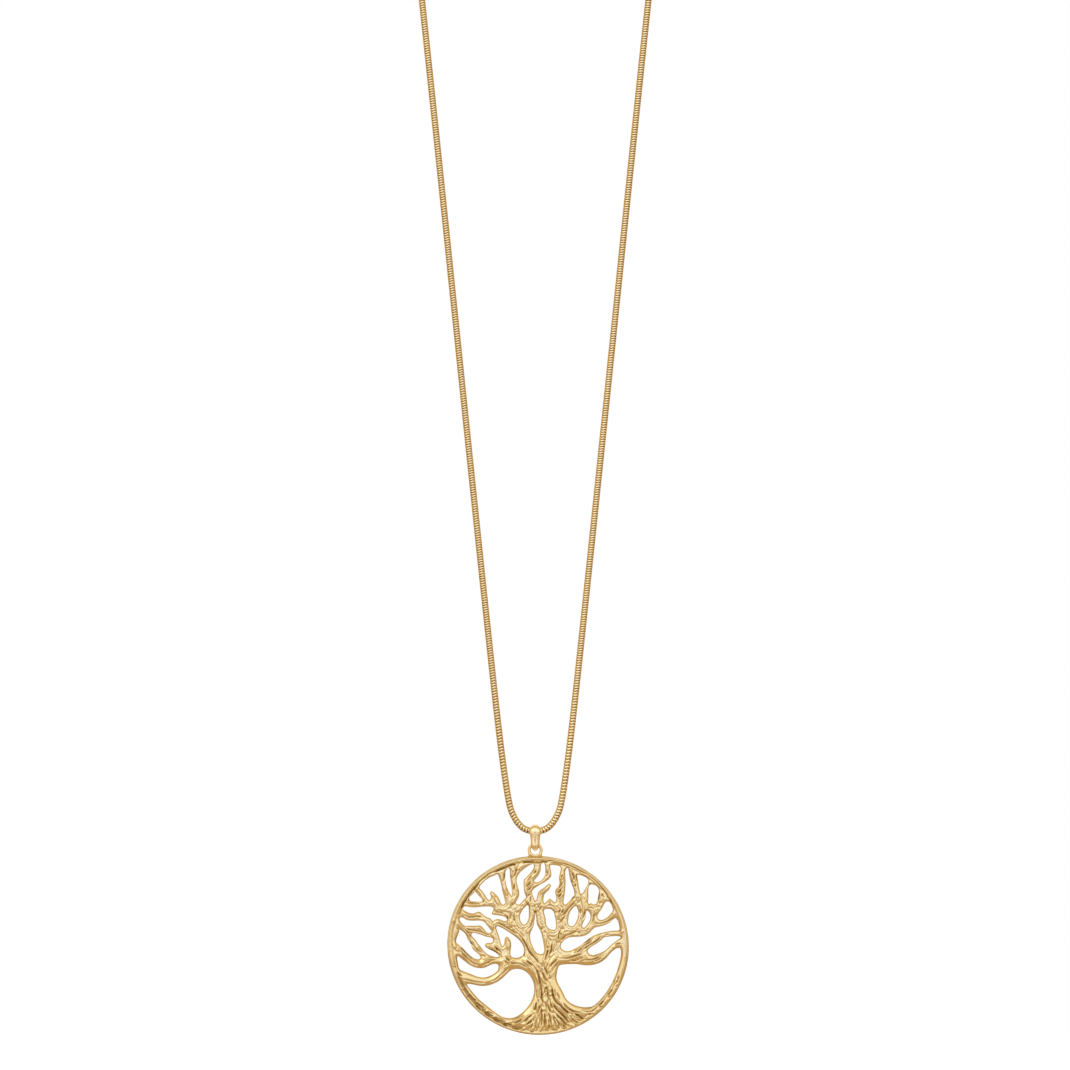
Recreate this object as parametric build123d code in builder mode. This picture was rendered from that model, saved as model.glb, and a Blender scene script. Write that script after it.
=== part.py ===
"""Tree of life pendant on a round snake chain, in millimetres.

The necklace hangs as worn: the origin is the nape, where the clasp lies, +Z is up and the front
of the medallion faces -Y. The chain's two strands run down in one plane in front of the neck.
"""
import os
from math import cos, hypot, pi, radians, sin, sqrt, tan

from build123d import *

# chain and clasp
chain_diameter = 1.8
clasp_length = 10.0
clasp_diameter = 3.2
clasp_edge = 0.8
arc_share = 0.45

# bail: a closed loop of metal that rides on the chain and carries the medallion's ring
bail_drop = 3.46
bail_width = 3.55
bail_wall = 0.75
bail_foot = 1.15
chain_gap = 0.25
ring_gap = 0.45

# ring soldered on top of the medallion
ring_wire = 0.7
ring_bore = 2.9
ring_sink = 0.54

# medallion: an oval that is a little out of round, long axis tipped down to the right
long_radius = 25.3
short_radius = 24.75
oval_tilt = -24.0
medallion_shift = 0.8
plate_thickness = 1.7
rim_width = 1.25
rim_rise = 0.35
rim_round = 0.3
groove_width = 0.45
groove_depth = 0.3

# The chain's corner points on the right side, from the clasp at the nape, over the shoulder,
# down the long straight strand and round to the bottom of the U: (x, y, z). The left side mirrors it.
CHAIN_ROUTE = [
    (clasp_length / 2, 0.0, 0.0),
    (22.0, 0.0, 0.0),
    (44.0, -21.0, -5.0),
    (50.0, -57.0, -20.0),
    (41.0, -87.0, -53.0),
    (34.3, -95.0, -103.0),
    (12.1, -95.0, -318.1),
    (7.73, -95.0, -354.2),
    (5.6, -95.0, -359.7),
    (2.6, -95.0, -362.7),
]

# The bail's outer form from the foot to the crown, as shares: height of its whole length,
# width of bail_width, depth of its depth round the chain
BAIL_SECTIONS = [
    # height, width, depth
    (0.03, 0.24, 0.24),
    (0.10, 0.50, 0.50),
    (0.18, 0.62, 0.66),
    (0.30, 0.70, 0.82),
    (0.50, 0.80, 0.91),
    (0.66, 0.93, 0.98),
    (0.76, 1.00, 1.00),
    (0.87, 0.92, 0.88),
    (0.95, 0.66, 0.62),
    (0.985, 0.38, 0.36),
]

# The pierced gaps between branches, trunk and rim. Each walks once round its gap, in hundredths
# of the medallion's half width (across) and half height (up) from its middle.
GAPS = {
    "top_left": [
        (-45.5, 79.5), (-50, 77.5), (-63.5, 67), (-64.5, 64.8), (-62, 61.5), (-53, 51), (-52, 55.5),
        (-53.2, 58.5), (-52, 60.3), (-46.5, 57), (-44, 54.5), (-38, 45.7), (-36.4, 47.2), (-36.5, 50),
        (-39.2, 60), (-43, 76.5),
    ],
    "left_triangle": [
        (-70, 60.3), (-74, 55.5), (-75.8, 52), (-75, 50.3), (-71, 49.3), (-61.3, 49.5), (-66.5, 57),
    ],
    "left_upper": [
        (-82.8, 41.3), (-81.5, 43.2), (-76, 43), (-58, 43.6), (-49.2, 40.8), (-50.8, 35), (-48.5, 34.2),
        (-36.5, 31.7), (-34.6, 30), (-34.8, 27.8), (-43, 29.3), (-48.5, 28), (-50, 27.3), (-51.5, 29),
        (-57, 32), (-66.5, 37.6), (-69.5, 36.3), (-80.5, 38.5),
    ],
    "left_middle": [
        (-86, 30.5), (-84.5, 31.5), (-82, 30.5), (-79, 28.7), (-61, 27), (-53.5, 19), (-51.5, 14.8),
        (-53.5, 14), (-63.5, 22), (-70, 21.8), (-76, 22), (-81, 22.2), (-85, 26),
    ],
    "left_rim": [
        (-87.5, 18.3), (-90, 7), (-89.8, 3), (-88, 1.5), (-68, -15.3), (-65, -15.3), (-63.5, -13.5),
        (-64.5, -11), (-73, -2), (-73.8, 1), (-77.5, 7), (-84, 16.5),
    ],
    "left_inner": [
        (-71, 14.3), (-67, 13.2), (-63, 12), (-55, 9.3), (-50, 7.5), (-51, 3), (-56.5, 2.5),
        (-58.3, 1.2), (-49, -6.7), (-46, -8.5), (-43, -12.3), (-49, -12.5), (-63.5, -1.5), (-66.5, 2.5),
        (-69.5, 7), (-73.3, 12.5),
    ],
    "centre_left": [
        (-44.5, 21.6), (-40, 19.7), (-32, 14.8), (-15.6, -4), (-16.8, -10.8), (-29, -12.5), (-29.7, 3),
        (-32.3, 8.2), (-34.2, 9.8), (-36, 9), (-37.2, 3), (-39, -0.8), (-41.3, 4), (-45.5, 17.5),
        (-45.8, 20.5),
    ],
    "slim_left": [
        (-33, 86.5), (-35, 84.5), (-36, 80), (-30.3, 56.8), (-29.3, 55.4), (-28.9, 61), (-31, 81),
        (-31.6, 85.3),
    ],
    "top_middle": [
        (-6, 91.2), (-15.5, 85.5), (-23.5, 74.5), (-22, 52.5), (-24, 46.7), (-21.7, 45.7), (-19, 47.2),
        (-14.5, 52.3), (-13.4, 54), (-14.2, 57), (-16.1, 69.5), (-15.8, 73), (-13.8, 75.5),
        (-5.1, 86.3), (-4.7, 89.7),
    ],
    "oval_left": [
        (-12, 44.8), (-14.3, 43), (-18.5, 26), (-15, 23.2), (-11.8, 27), (-10.2, 39),
    ],
    "slim_top": [
        (4.9, 92), (3.3, 90), (3, 86), (-3.3, 73.7), (-4.4, 71.8), (-3.3, 70.8), (1.7, 71.6), (8, 85),
    ],
    "top_right": [
        (14, 90), (18, 89.7), (24, 88.3), (23, 74.5), (23.5, 71.5), (22.5, 66.7), (19.1, 61.8),
        (19.8, 50.5), (18.7, 48.3), (12.8, 52.3), (11.5, 51.4), (7.2, 47.2), (7.2, 57.2), (11.7, 62),
        (13.3, 64.8), (14.3, 67.2), (13.3, 68.5), (8, 65.8), (-0.2, 58.8), (-1.8, 51.7), (-3, 49.7),
        (-4.1, 51.7), (-6.2, 61.3), (-1.5, 65.6), (14.5, 78), (13.7, 86),
    ],
    "slim_right": [
        (31.6, 86.2), (30.3, 84), (30, 79), (28.4, 51.5), (28.1, 48.3), (28.7, 46.3), (37.3, 53),
        (39.6, 56.2), (39, 63), (34.3, 79),
    ],
    "right_drop": [
        (44, 79), (49, 77.7), (54.8, 74), (50, 60), (48.3, 57.8), (47, 57.6), (46.2, 60), (45.2, 64.5),
        (43.8, 74),
    ],
    "right_long": [
        (60, 68.2), (66.6, 63.3), (65.3, 50.7), (63.8, 46.7), (60, 46.4), (58.6, 47.3), (55.9, 46.5),
        (55.3, 49), (55.5, 57),
    ],
    "right_egg": [
        (76.4, 49.1), (78, 48.8), (81, 44.3), (82.2, 41.8), (78.4, 33.8), (67.3, 29.2), (65.8, 31),
        (70.8, 42),
    ],
    "oval_right": [
        (42, 43.8), (44.2, 38.5), (40.7, 24.2), (39.2, 22.2), (34.8, 22.1), (33.4, 29), (39.7, 43),
    ],
    "slim_lower": [
        (54.5, 38.8), (57.1, 35.5), (52, 20.8), (50.3, 19.8), (49, 20.6), (48.9, 23), (52.6, 33.8),
    ],
    "oval_centre": [
        (9, 40.8), (17.3, 37), (18.3, 33.5), (19.6, 21), (18.9, 18.3), (16.8, 17.5), (9.9, 21.5),
        (7.8, 32.5),
    ],
    "right_swoop": [
        (85.8, 30.3), (87.2, 28.5), (89.5, 20.5), (89.6, 17.6), (84, 16.5), (79, 16), (55, 6.8),
        (51.5, 3.6), (41, -3.4), (30, -6.2), (25.3, -2.8), (29.3, 6.3), (47, 9.9), (57.6, 14.9),
        (62.3, 19.7), (66, 20.8), (82.5, 28.7),
    ],
    "right_leaf": [
        (74.3, 9.5), (78, 9.9), (88, 10.4), (90.3, 10), (80.3, 0.6), (77.7, -2.3), (64.5, -9.9),
        (57, -10.1), (55.2, -8), (69.2, 5.6),
    ],
    "middle_drop": [
        (-2.9, 35.2), (-3.8, 30), (-6.1, 19), (-7.7, 16), (-5.1, -2.8), (-0.6, -8.7), (3.9, -9.7),
        (4.6, 8.3), (2.8, 15.5), (-1.4, 24.3), (-2, 31.5),
    ],
    "lower_left_lens": [
        (-88, -11.8), (-86.5, -13), (-81, -17.5), (-71, -24), (-57, -24.2), (-51, -21.2),
        (-44.3, -21.3), (-45, -28.7), (-47.5, -31), (-58, -35.7), (-82.5, -28.7), (-85.5, -27.4),
        (-88.8, -17), (-89, -13.4),
    ],
    "lower_left": [
        (-77.3, -42.8), (-73, -43.3), (-68, -44.5), (-62, -45.3), (-37.5, -35), (-29, -27.4),
        (-18, -27), (-4.7, -43.5), (-5.5, -57.5), (-17.5, -75.2), (-25, -80.2), (-37, -80.7),
        (-50, -72.7), (-71.3, -53.6), (-76.8, -46.5), (-78, -44),
    ],
    "lower_right": [
        (25.3, -21.6), (37, -20.8), (43, -21), (54, -22.3), (74.5, -14.8), (82.5, -6), (90, -3.1),
        (91.4, -9), (90.7, -14.5), (66.7, -62.7), (58.8, -68.4), (54, -69.2), (30, -58.2),
        (28.2, -54.2), (20.2, -35), (20.8, -30.5),
    ],
}

# Grooves of bark between the raised cords of trunk, roots and branches, in the same hundredths
GROOVES = [
    # trunk
    [(-4.5, -25), (-1, -28.5), (0.8, -34), (2.2, -41), (3.4, -49), (4, -57)],
    [(1.5, -29), (5, -31), (7, -35), (9.8, -39.5), (12.8, -44.5)],
    [(6, -22), (8, -26), (10, -31), (10.5, -36)],
    [(16, -43), (16, -51), (18, -58), (22.5, -64.5), (28, -70), (35, -75)],
    [(20.3, -50), (22, -56), (24.5, -62)],
    [(9.5, -48), (7, -51), (5.3, -56)],
    [(9.8, -48.5), (11.5, -53), (12.5, -59), (14, -66)],
    # roots
    [(27, -62), (31, -66.5), (36, -71), (42, -73.5), (48, -73.7)],
    [(15, -59), (17, -66), (21, -71), (26, -76), (32.5, -81.5), (38.5, -89)],
    [(9.7, -64), (12, -69), (14.5, -75)],
    [(4.5, -60), (7.5, -66), (10, -72), (12.5, -77.5), (13.8, -85), (14, -93)],
    [(-3, -63), (-3.6, -72), (-9, -78), (-18, -85.5)],
    [(3.5, -66), (0.5, -70), (-1.5, -75), (-3.2, -80), (-5, -87)],
    [(4.5, -68), (3.8, -76), (3.4, -84), (1.8, -94)],
    [(7.5, -75), (7.5, -89)],
    [(-7, -82), (-12, -87), (-18.5, -92)],
    [(-13, -80), (-19, -83), (-25, -85.5)],
    [(17, -79), (19, -86), (20.3, -93)],
    [(20, -80), (23, -86), (25.5, -92.5)],
    [(25, -80), (29, -85), (33.5, -91)],
    [(36, -75), (41, -76.3), (47, -79), (53, -82)],
    [(36, -80.5), (41, -84), (47, -85.5)],
    # lower left branches
    [(-43, -17.5), (-48, -16.2), (-52.5, -17.3), (-56.5, -20.2), (-61, -21.7)],
    [(-64, -22.3), (-70, -20.6), (-74, -18.2), (-80, -11.8), (-88, -4)],
    [(-84, -38), (-79, -38), (-73, -39.5), (-64, -41.2), (-55, -41.3)],
    [(-54, -40.2), (-48, -38.3), (-42, -33.5), (-36, -28.3), (-30.5, -23.5)],
    [(-38, -11), (-33, -15.5), (-28, -19.5), (-21, -20), (-15, -22.5), (-10, -26)],
    [(-19, -16.5), (-13, -20.5), (-7, -25)],
    [(-14.5, -15.5), (-9, -19.5), (-4, -24)],
    [(-39, -16.5), (-34, -19), (-30, -22)],
    # middle left branches
    [(-49.5, 0.3), (-45, -3.5), (-41.5, -7), (-41.3, -12.5)],
    [(-59, -9.8), (-64, -6.5), (-69, -2.5), (-73, 2), (-77, 7.5)],
    [(-49, 10.5), (-55, 12), (-62, 14.7), (-70, 16.6), (-77, 18.5), (-84, 22)],
    [(-73.5, 12), (-78, 15.5), (-84, 19.8)],
    [(-59.5, 30.3), (-64, 32.2), (-68, 32.7), (-76, 32), (-85, 34.5)],
    [(-60, 46.3), (-67, 47), (-75, 48), (-83, 47.5)],
    [(-66.5, 61.5), (-64, 58), (-61, 53)],
    [(-47, 23.5), (-41, 24), (-34, 19.8), (-27, 15.5), (-21.5, 11.5)],
    [(-19.5, 10), (-16.3, 6.2), (-13.3, 1), (-10, -6), (-6, -11), (-2.5, -14.3)],
    [(-34, 34.5), (-33.3, 28)],
    [(-30.8, 36), (-30.4, 28)],
    [(-27, 36), (-26, 25)],
    [(-12.2, 17.7), (-8.3, 21.3), (-6.5, 26), (-6.3, 34)],
    # top branches
    [(-36.9, 84), (-37.2, 76), (-38.7, 69)],
    [(-26.6, 84.5), (-28.6, 79.5)],
    [(-22.6, 89), (-25, 81), (-27.7, 74.5)],
    [(-25.7, 70), (-26.7, 65), (-27.3, 60)],
    [(-1.7, 84), (-5.5, 80.3)],
    [(-6.3, 79.3), (-10, 74.5), (-13, 71)],
    [(-7, 72.3), (-11, 68.3), (-14, 63.5)],
    [(-5, 66.3), (-10, 63), (-13.2, 58.7)],
    [(9, 84), (10.4, 80.5), (6.5, 74.5)],
    [(3.7, 49), (1, 44.5), (-1, 41.3)],
    [(4.3, 44.5), (0.5, 38.3)],
    # right branches
    [(27.7, 79.5), (24.3, 75.3)],
    [(27.3, 71.5), (24.7, 67), (21.3, 62.7)],
    [(26.7, 65.3), (23, 60), (20.2, 58)],
    [(26.5, 60), (23, 55.5), (21, 53.3)],
    [(36.5, 84), (38.3, 79.5), (39.8, 75), (37.3, 71)],
    [(41.6, 69.3), (40.3, 64.5)],
    [(43, 50), (38, 46.2), (33.5, 41.5), (29, 35.5), (24.7, 31)],
    [(31.5, 35), (26, 28.5), (21.5, 22.7)],
    [(26.7, 18.7), (23.7, 15), (22.3, 9), (21.5, 4)],
    [(23, 3), (27, 7), (31, 11), (36, 13.5), (41, 15), (46, 13.7)],
    [(60.7, 38), (61.5, 33), (60.3, 27), (57.3, 21.5)],
    [(63.5, 22.7), (69, 24.7), (75, 26.3), (81, 29.3), (86, 34)],
    [(48.3, -5.6), (53, -1.9), (59, 2), (66, 7), (71.5, 13)],
    [(40, -9.2), (45, -5.7), (49, -1), (55, 3), (61, 7.3)],
    [(24, -14.5), (31, -14), (38, -12), (45, -10), (51, -8.5)],
    [(31, -16.7), (38, -16.8), (43, -16.2), (48, -13), (53, -11.5)],
    [(47, -17.5), (54, -16), (60, -15.5), (66, -12.8), (71, -10)],
    [(60, -18), (66, -15.8), (72, -11)],
    [(83, 0.3), (87.5, 2.2), (92, 2.2)],
    [(58, 70.5), (56, 66)],
]

# sizes that follow from the ones above
chain_radius = chain_diameter / 2
low_y = CHAIN_ROUTE[-1][1]
low_z = CHAIN_ROUTE[-1][2]
bore_radius = chain_radius + chain_gap
seat_radius = ring_wire / 2 + ring_gap
bail_depth = 2 * (bore_radius + bail_wall)
bail_top = bore_radius + bail_wall
bail_length = bail_top + bail_drop + seat_radius + bail_foot
ring_radius = (ring_bore + ring_wire) / 2
ring_z = low_z - bail_drop - ring_radius
rim_top_z = ring_z - ring_radius - ring_wire / 2 + ring_sink
tilt = radians(oval_tilt)
half_width = hypot(long_radius * cos(tilt), short_radius * sin(tilt))
half_height = hypot(long_radius * sin(tilt), short_radius * cos(tilt))

# the oval's edge straight below the ring stands this share of half_height above its middle
lean = (long_radius ** 2 - short_radius ** 2) * sin(tilt) * cos(tilt) / (half_width * half_height)
across_share = -medallion_shift / half_width
up_share = lean * across_share + sqrt((1 - lean ** 2) * (1 - across_share ** 2))
medallion_z = rim_top_z - up_share * half_height
rim_edge = min(rim_round, 0.8 * rim_rise, 0.3 * rim_width)


def corner_radii(points):
    """An arc for each corner that takes the same share of the shorter run beside it."""
    radii = []
    for before, corner, after in zip(points, points[1:], points[2:]):
        arriving = Vector(*corner) - Vector(*before)
        leaving = Vector(*after) - Vector(*corner)
        half_turn = radians(arriving.get_angle(leaving)) / 2
        radii.append(arc_share * min(arriving.length, leaving.length) / tan(half_turn))
    return radii


def from_middle(across, up):
    """A point of the medallion's face, from hundredths of its half width and half height."""
    return (across / 100 * half_width, up / 100 * half_height)


# chain: one tube from the clasp's right end round to its left end
route = CHAIN_ROUTE + [(-x, y, z) for x, y, z in reversed(CHAIN_ROUTE)]
radii = corner_radii(route)
with BuildPart() as chain:
    with BuildLine() as chain_line:
        FilletPolyline(*route, radius=radii)
    with BuildSketch(Plane(origin=route[0], z_dir=(1, 0, 0))):
        Circle(chain_radius)
    sweep(path=chain_line.wires()[0])
chain.part.label = "chain"

# clasp: a plain barrel at the nape, the chain's ends meeting its two faces
with BuildPart() as clasp:
    with BuildSketch(Plane.YZ):
        Circle(clasp_diameter / 2)
    extrude(amount=clasp_length / 2, both=True)
    fillet(clasp.edges().filter_by(GeomType.CIRCLE), radius=min(clasp_edge, clasp_diameter / 4))
clasp.part.label = "clasp"

# bail: a smooth drop-shaped body, hollowed crosswise for the chain above and the ring below
bail_side = Plane(origin=(0, low_y, low_z), x_dir=(0, 1, 0), z_dir=(1, 0, 0))
with BuildPart() as bail:
    for height, width, depth in BAIL_SECTIONS:
        level = low_z + bail_top - bail_length * (1 - height)
        with BuildSketch(Plane.XY.offset(level)):
            with Locations((0, low_y)):
                Ellipse(width * bail_width / 2, depth * bail_depth / 2)
    loft()
    with BuildSketch(bail_side) as bail_hollow:
        Circle(bore_radius)
        with Locations((0, -bail_drop)):
            Circle(seat_radius)
        make_hull()
    extrude(amount=bail_width, both=True, mode=Mode.SUBTRACT)
bail.part.label = "bail"

# medallion: pierced plate, raised rim, bark grooves and the ring soldered on top, in one casting
face = Plane(origin=(medallion_shift, low_y, medallion_z), x_dir=(1, 0, 0), z_dir=(0, -1, 0))
front = face.offset(plate_thickness / 2)
with BuildPart() as medallion:
    with BuildSketch(face):
        Ellipse(long_radius, short_radius, rotation=oval_tilt)
        for outline in GAPS.values():
            with BuildLine():
                Spline(*[from_middle(across, up) for across, up in outline], periodic=True)
            make_face(mode=Mode.SUBTRACT)
    extrude(amount=plate_thickness / 2, both=True)
    with BuildSketch(front):
        for stroke in GROOVES:
            with BuildLine():
                Spline(*[from_middle(across, up) for across, up in stroke])
            trace(line_width=groove_width)
    extrude(amount=-groove_depth, mode=Mode.SUBTRACT)
    with BuildSketch(face):
        Ellipse(long_radius, short_radius, rotation=oval_tilt)
        Ellipse(long_radius - rim_width, short_radius - rim_width, rotation=oval_tilt, mode=Mode.SUBTRACT)
    extrude(amount=plate_thickness / 2 + rim_rise, both=True)
    by_depth = medallion.edges().group_by(Axis.Y)
    fillet(by_depth[0] + by_depth[-1], radius=rim_edge)
    with BuildSketch(Plane(origin=(0, low_y, ring_z), x_dir=(1, 0, 0), z_dir=(0, 0, 1))):
        with Locations((ring_radius, 0)):
            Circle(ring_wire / 2)
    revolve(axis=Axis((0, low_y, ring_z), (0, 1, 0)))
medallion.part.label = "medallion"

os.makedirs("parts", exist_ok=True)
export_step(chain.part, "parts/chain.step")
export_step(clasp.part, "parts/clasp.step")
export_step(bail.part, "parts/bail.step")
export_step(medallion.part, "parts/medallion.step")

path_length = chain_line.wires()[0].length
print("corner radii", [round(radius, 1) for radius in radii])
print("chain path", round(path_length, 1), "loop with clasp", round(path_length + clasp_length, 1))
print("chain volume over section times length",
      round(chain.part.volume / (path_length * pi * chain_radius ** 2), 5))
print("bail hollow runs from", round(bore_radius, 2), "above the chain's middle to",
      round(-bail_drop - seat_radius, 2))
print("medallion middle z", round(medallion_z, 2), "lowest", round(medallion_z - half_height, 2))
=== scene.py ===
"""Looks of the tree of life pendant: cast medallion, smooth bail and round snake chain."""
import math

import bmesh
import bpy
import numpy as np
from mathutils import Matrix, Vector, kdtree


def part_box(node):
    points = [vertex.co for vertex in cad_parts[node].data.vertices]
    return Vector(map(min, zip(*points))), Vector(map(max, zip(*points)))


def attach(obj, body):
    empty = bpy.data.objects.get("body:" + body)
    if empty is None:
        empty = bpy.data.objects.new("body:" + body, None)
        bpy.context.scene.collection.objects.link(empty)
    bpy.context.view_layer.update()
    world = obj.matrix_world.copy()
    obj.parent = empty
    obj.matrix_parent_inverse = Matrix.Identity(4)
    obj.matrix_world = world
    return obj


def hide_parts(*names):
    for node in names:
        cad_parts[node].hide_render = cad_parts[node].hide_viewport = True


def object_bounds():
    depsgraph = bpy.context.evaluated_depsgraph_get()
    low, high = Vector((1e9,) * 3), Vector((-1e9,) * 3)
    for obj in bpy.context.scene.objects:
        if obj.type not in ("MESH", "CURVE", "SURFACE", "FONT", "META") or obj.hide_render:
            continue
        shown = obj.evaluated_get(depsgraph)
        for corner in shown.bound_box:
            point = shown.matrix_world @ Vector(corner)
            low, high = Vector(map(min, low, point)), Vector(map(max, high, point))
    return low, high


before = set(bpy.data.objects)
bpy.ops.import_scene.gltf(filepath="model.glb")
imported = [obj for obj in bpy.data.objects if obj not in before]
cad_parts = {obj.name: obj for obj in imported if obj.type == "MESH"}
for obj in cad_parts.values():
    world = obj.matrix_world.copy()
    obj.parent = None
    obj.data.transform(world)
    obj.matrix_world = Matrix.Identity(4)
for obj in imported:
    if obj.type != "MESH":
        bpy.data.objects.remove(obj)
cad_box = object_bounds()

MM = 0.001

# sizes shared with the solids, in millimetres
chain_diameter = 1.8
clasp_length = 10.0
front_y = -95.0
low_z = -362.7
bail_drop = 3.46
bore_radius = 1.15
seat_radius = 0.8
ring_wire = 0.7
ring_drop = 1.8
long_radius = 25.3
short_radius = 24.75
oval_tilt = math.radians(-24.0)
medallion_shift = 0.8

# the chain's route on the right side, from the clasp at the nape down to the bottom of the U
CHAIN_ROUTE = [
    (clasp_length / 2, 0.0, 0.0),
    (22.0, 0.0, 0.0),
    (44.0, -21.0, -5.0),
    (50.0, -57.0, -20.0),
    (41.0, -87.0, -53.0),
    (34.3, -95.0, -103.0),
    (12.1, -95.0, -318.1),
    (7.73, -95.0, -354.2),
    (5.6, -95.0, -359.7),
    (2.6, -95.0, -362.7),
]

# photograph: its size in pixels, its scale, and where the chain's lowest point lies in it
photo_size = 1070
photo_per_mm = 3.6
photo_chain_x = 535.2
photo_chain_y = 831.2
camera_distance = 1200.0
sensor_width = 36.0

# the tent of light, from straight behind the piece (-1) round to the camera (1), and from
# straight below (-1) to straight above (1)
TENT_ROUND = [
    # forward, red, green, blue
    (-1.00, 1.10, 1.05, 0.96),
    (-0.70, 1.02, 0.92, 0.78),
    (-0.35, 0.85, 0.70, 0.50),
    (-0.05, 0.60, 0.37, 0.12),
    (0.22, 0.70, 0.45, 0.17),
    (0.55, 1.02, 0.88, 0.64),
    (0.85, 1.14, 1.08, 1.00),
    (1.00, 1.14, 1.08, 0.99),
]
TENT_HEIGHT = [
    # upward, red, green, blue
    (-1.00, 0.42, 0.34, 0.24),
    (-0.50, 0.60, 0.52, 0.40),
    (-0.25, 0.86, 0.81, 0.74),
    (-0.05, 0.98, 0.96, 0.93),
    (0.40, 1.06, 1.08, 1.11),
    (1.00, 1.10, 1.14, 1.20),
]
# how far the tent's bright top leans to the left
tent_lean = 0.12
# the dark slit in front of the piece that the smooth bail mirrors: middle, half size and where it has faded
slit_aside = (-0.05, 0.12, 0.17)
slit_upward = (-0.16, 0.055, 0.08)
slit_colour = (0.32, 0.15, 0.02, 1.0)
# soft boxes and the place that they face, in metres
light_target = (0.0, -0.09, -0.30)
SOFT_BOXES = [
    # name, place, size, power, tint
    ("key box", (-0.7, -1.1, 0.35), 0.7, 0.8, (1.0, 0.98, 0.95)),
    ("fill box", (0.8, -0.9, -0.1), 0.6, 0.1, (1.0, 0.97, 0.93)),
]
# the floor under the piece, in metres
floor_radius = 0.9
floor_drop = 0.06
floor_sides = 96
floor_colour = (0.66, 0.53, 0.36, 1.0)
floor_roughness = 0.9
# shares of the floor's radius between which it fades away
floor_fade = (0.16, 0.65)
white = (1.0, 1.0, 1.0, 1.0)

# finishes: the coat's roughness, grains to a mottle, what the noise counts as mottle, how far a
# mottle shifts the painted shade, and the painted shade values between which ridges, pale as painted
# highlight, turn into body and body into grooves, dark as painted shade
coat_roughness = 0.18
grains_per_mottle = 6
mottle_band = (0.35, 0.68)
mottle_depth = 0.16
ridge_band = (0.18, 0.50)
groove_band = (0.55, 0.95)

# chain links: spacing along the straight stretches and round the U, in millimetres, the distance from
# the middle of the U where it starts to close up and how far it takes to
link_pitch = 0.67
link_pitch_low = 0.84
link_ease = (20.0, 40.0)
# how far a link's plates step along the chain, in pitches
link_wave = 0.10
# where each quarter of a link has its corners, in degrees; it steps along the chain at 0 and 45
LINK_TURNS = (5, 22, 39, 51, 68, 85)
# links stand open at the chain's front and back and closed at its two sides: start and reach of that
# change, in cosines of the angle from the front
link_open = (0.3, 0.5)
# at the chain's two sides: the share of a link's rounding that is left, how much longer the link is,
# and how much painted shade darkens it there
side_relief = 0.25
side_growth = 0.10
side_shade = 0.72
# share of the depth, and of the slits' painted shade, that is left where two plates of a link meet, and how
# round each plate is
lobe_edge = 0.25
lobe_power = 0.7
# share of a slit's painted shade that is left at the sides
slit_share = 0.3
# one link from its tucked neck over its bulge and back inside: along in link pitches, radius in
# shares of the chain's radius, and its painted shade: dark in the necks between links, none on the bulge,
# which takes the pale ridge colour as painted highlight
LINK_FORM = [
    (-0.70, 0.78, 0.90),
    (-0.43, 0.81, 0.90),
    (-0.39, 0.88, 0.50),
    (-0.22, 0.96, 0.15),
    (0.00, 1.00, 0.00),
    (0.22, 0.96, 0.15),
    (0.41, 0.87, 0.60),
    (-0.30, 0.82, 0.90),
]
# steps to a span of the chain's spline, and how far either side of a link its direction is read
line_steps = 48
direction_step = 0.2
CHAIN_NAMES = ("chain_nape_right", "chain_front_right", "chain_front_left", "chain_nape_left")

# the bail's height below the chain's middle against its width and wall, front and back alike
BAIL_FORM = [
    # down, width, wall
    (-1.15, 2.50, 0.75),
    (-0.95, 2.80, 0.75),
    (-0.30, 3.12, 0.75),
    (0.60, 3.12, 0.75),
    (1.10, 2.86, 0.75),
    (1.50, 2.70, 0.76),
    (1.90, 2.60, 0.77),
    (2.60, 2.52, 0.80),
    (3.50, 2.48, 0.88),
    (3.90, 2.40, 0.98),
    (4.15, 2.26, 1.10),
    (4.26, 2.14, 1.15),
]
# steps round the bail's upper and lower bend, the step between them, and points round its section
bail_bend_steps = (40, 32)
bail_step = 0.16
bail_sides = 28
# the section's rise in shares of the wall: its outer dome, its inner face and where the two meet
bail_crown = 0.43
bail_inner = 0.14
bail_seam = 0.14
# below this rise lies the inner face
bail_inner_rise = 0.1

# the soldered ring as it lies in the photograph: its line and how broad its wire looks from the front
ring_line = 1.67
ring_breadth = 0.86
ring_steps = 64
wire_sides = 16
# its two legs: distance aside and down from the ring's middle, and radius, at the top and at the foot,
# then the rows of points along a leg and its cap's height in shares of its radius
leg_top = (ring_line, 0.2, 0.40)
leg_foot = (1.38, 2.0, 0.46)
leg_rows = 5
leg_cap = 0.4

# medallion relief, in millimetres
relief_pitch = 0.10
edge_rise = 0.32
branch_rise = 0.80
trunk_lift = 0.34
least_rise = 0.2
most_rise = 1.42
back_rise = 0.42
back_dome = 0.36
rounding = 0.78
rim_rounding = 0.62
back_rounding = 1.2
most_triangles = 190000
# walls nearer the middle than this share of the oval belong to gaps, and are sampled at this step
gap_share = 0.97
wall_step = 0.04
# cells of the grid past the oval on each side
grid_margin = 3
# how far border points may move onto the edge, in pitches, and the least slope that tells its direction
edge_reach = 1.5
least_slope = 0.3
# steps to a span of a stroke's smooth line
span_steps = 8
# soft steps, each with where it starts or ends and its reach: three in from the nearest edge, then
# four in from the rim's own edge
lift_step = (0.35, 1.3)
rope_step = (0.25, 0.4)
grain_step = (0.3, 0.6)
tree_step = (1.9, 0.7)
rim_step = (1.6, 0.8)
channel_start = (0.45, 0.35)
channel_end = (1.95, 0.4)
# how far up the trunk and the roots reach, in shares of the half height, and how softly they end
trunk_top = -0.06
trunk_blend = 3.0
roots_top = -0.56
roots_blend = 2.0
# strokes: how sharply their sides fall, and their ends' taper by length, at most and at the tip
stroke_power = 1.5
taper_share = 0.35
longest_taper = 1.7
tip_share = 0.15
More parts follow.
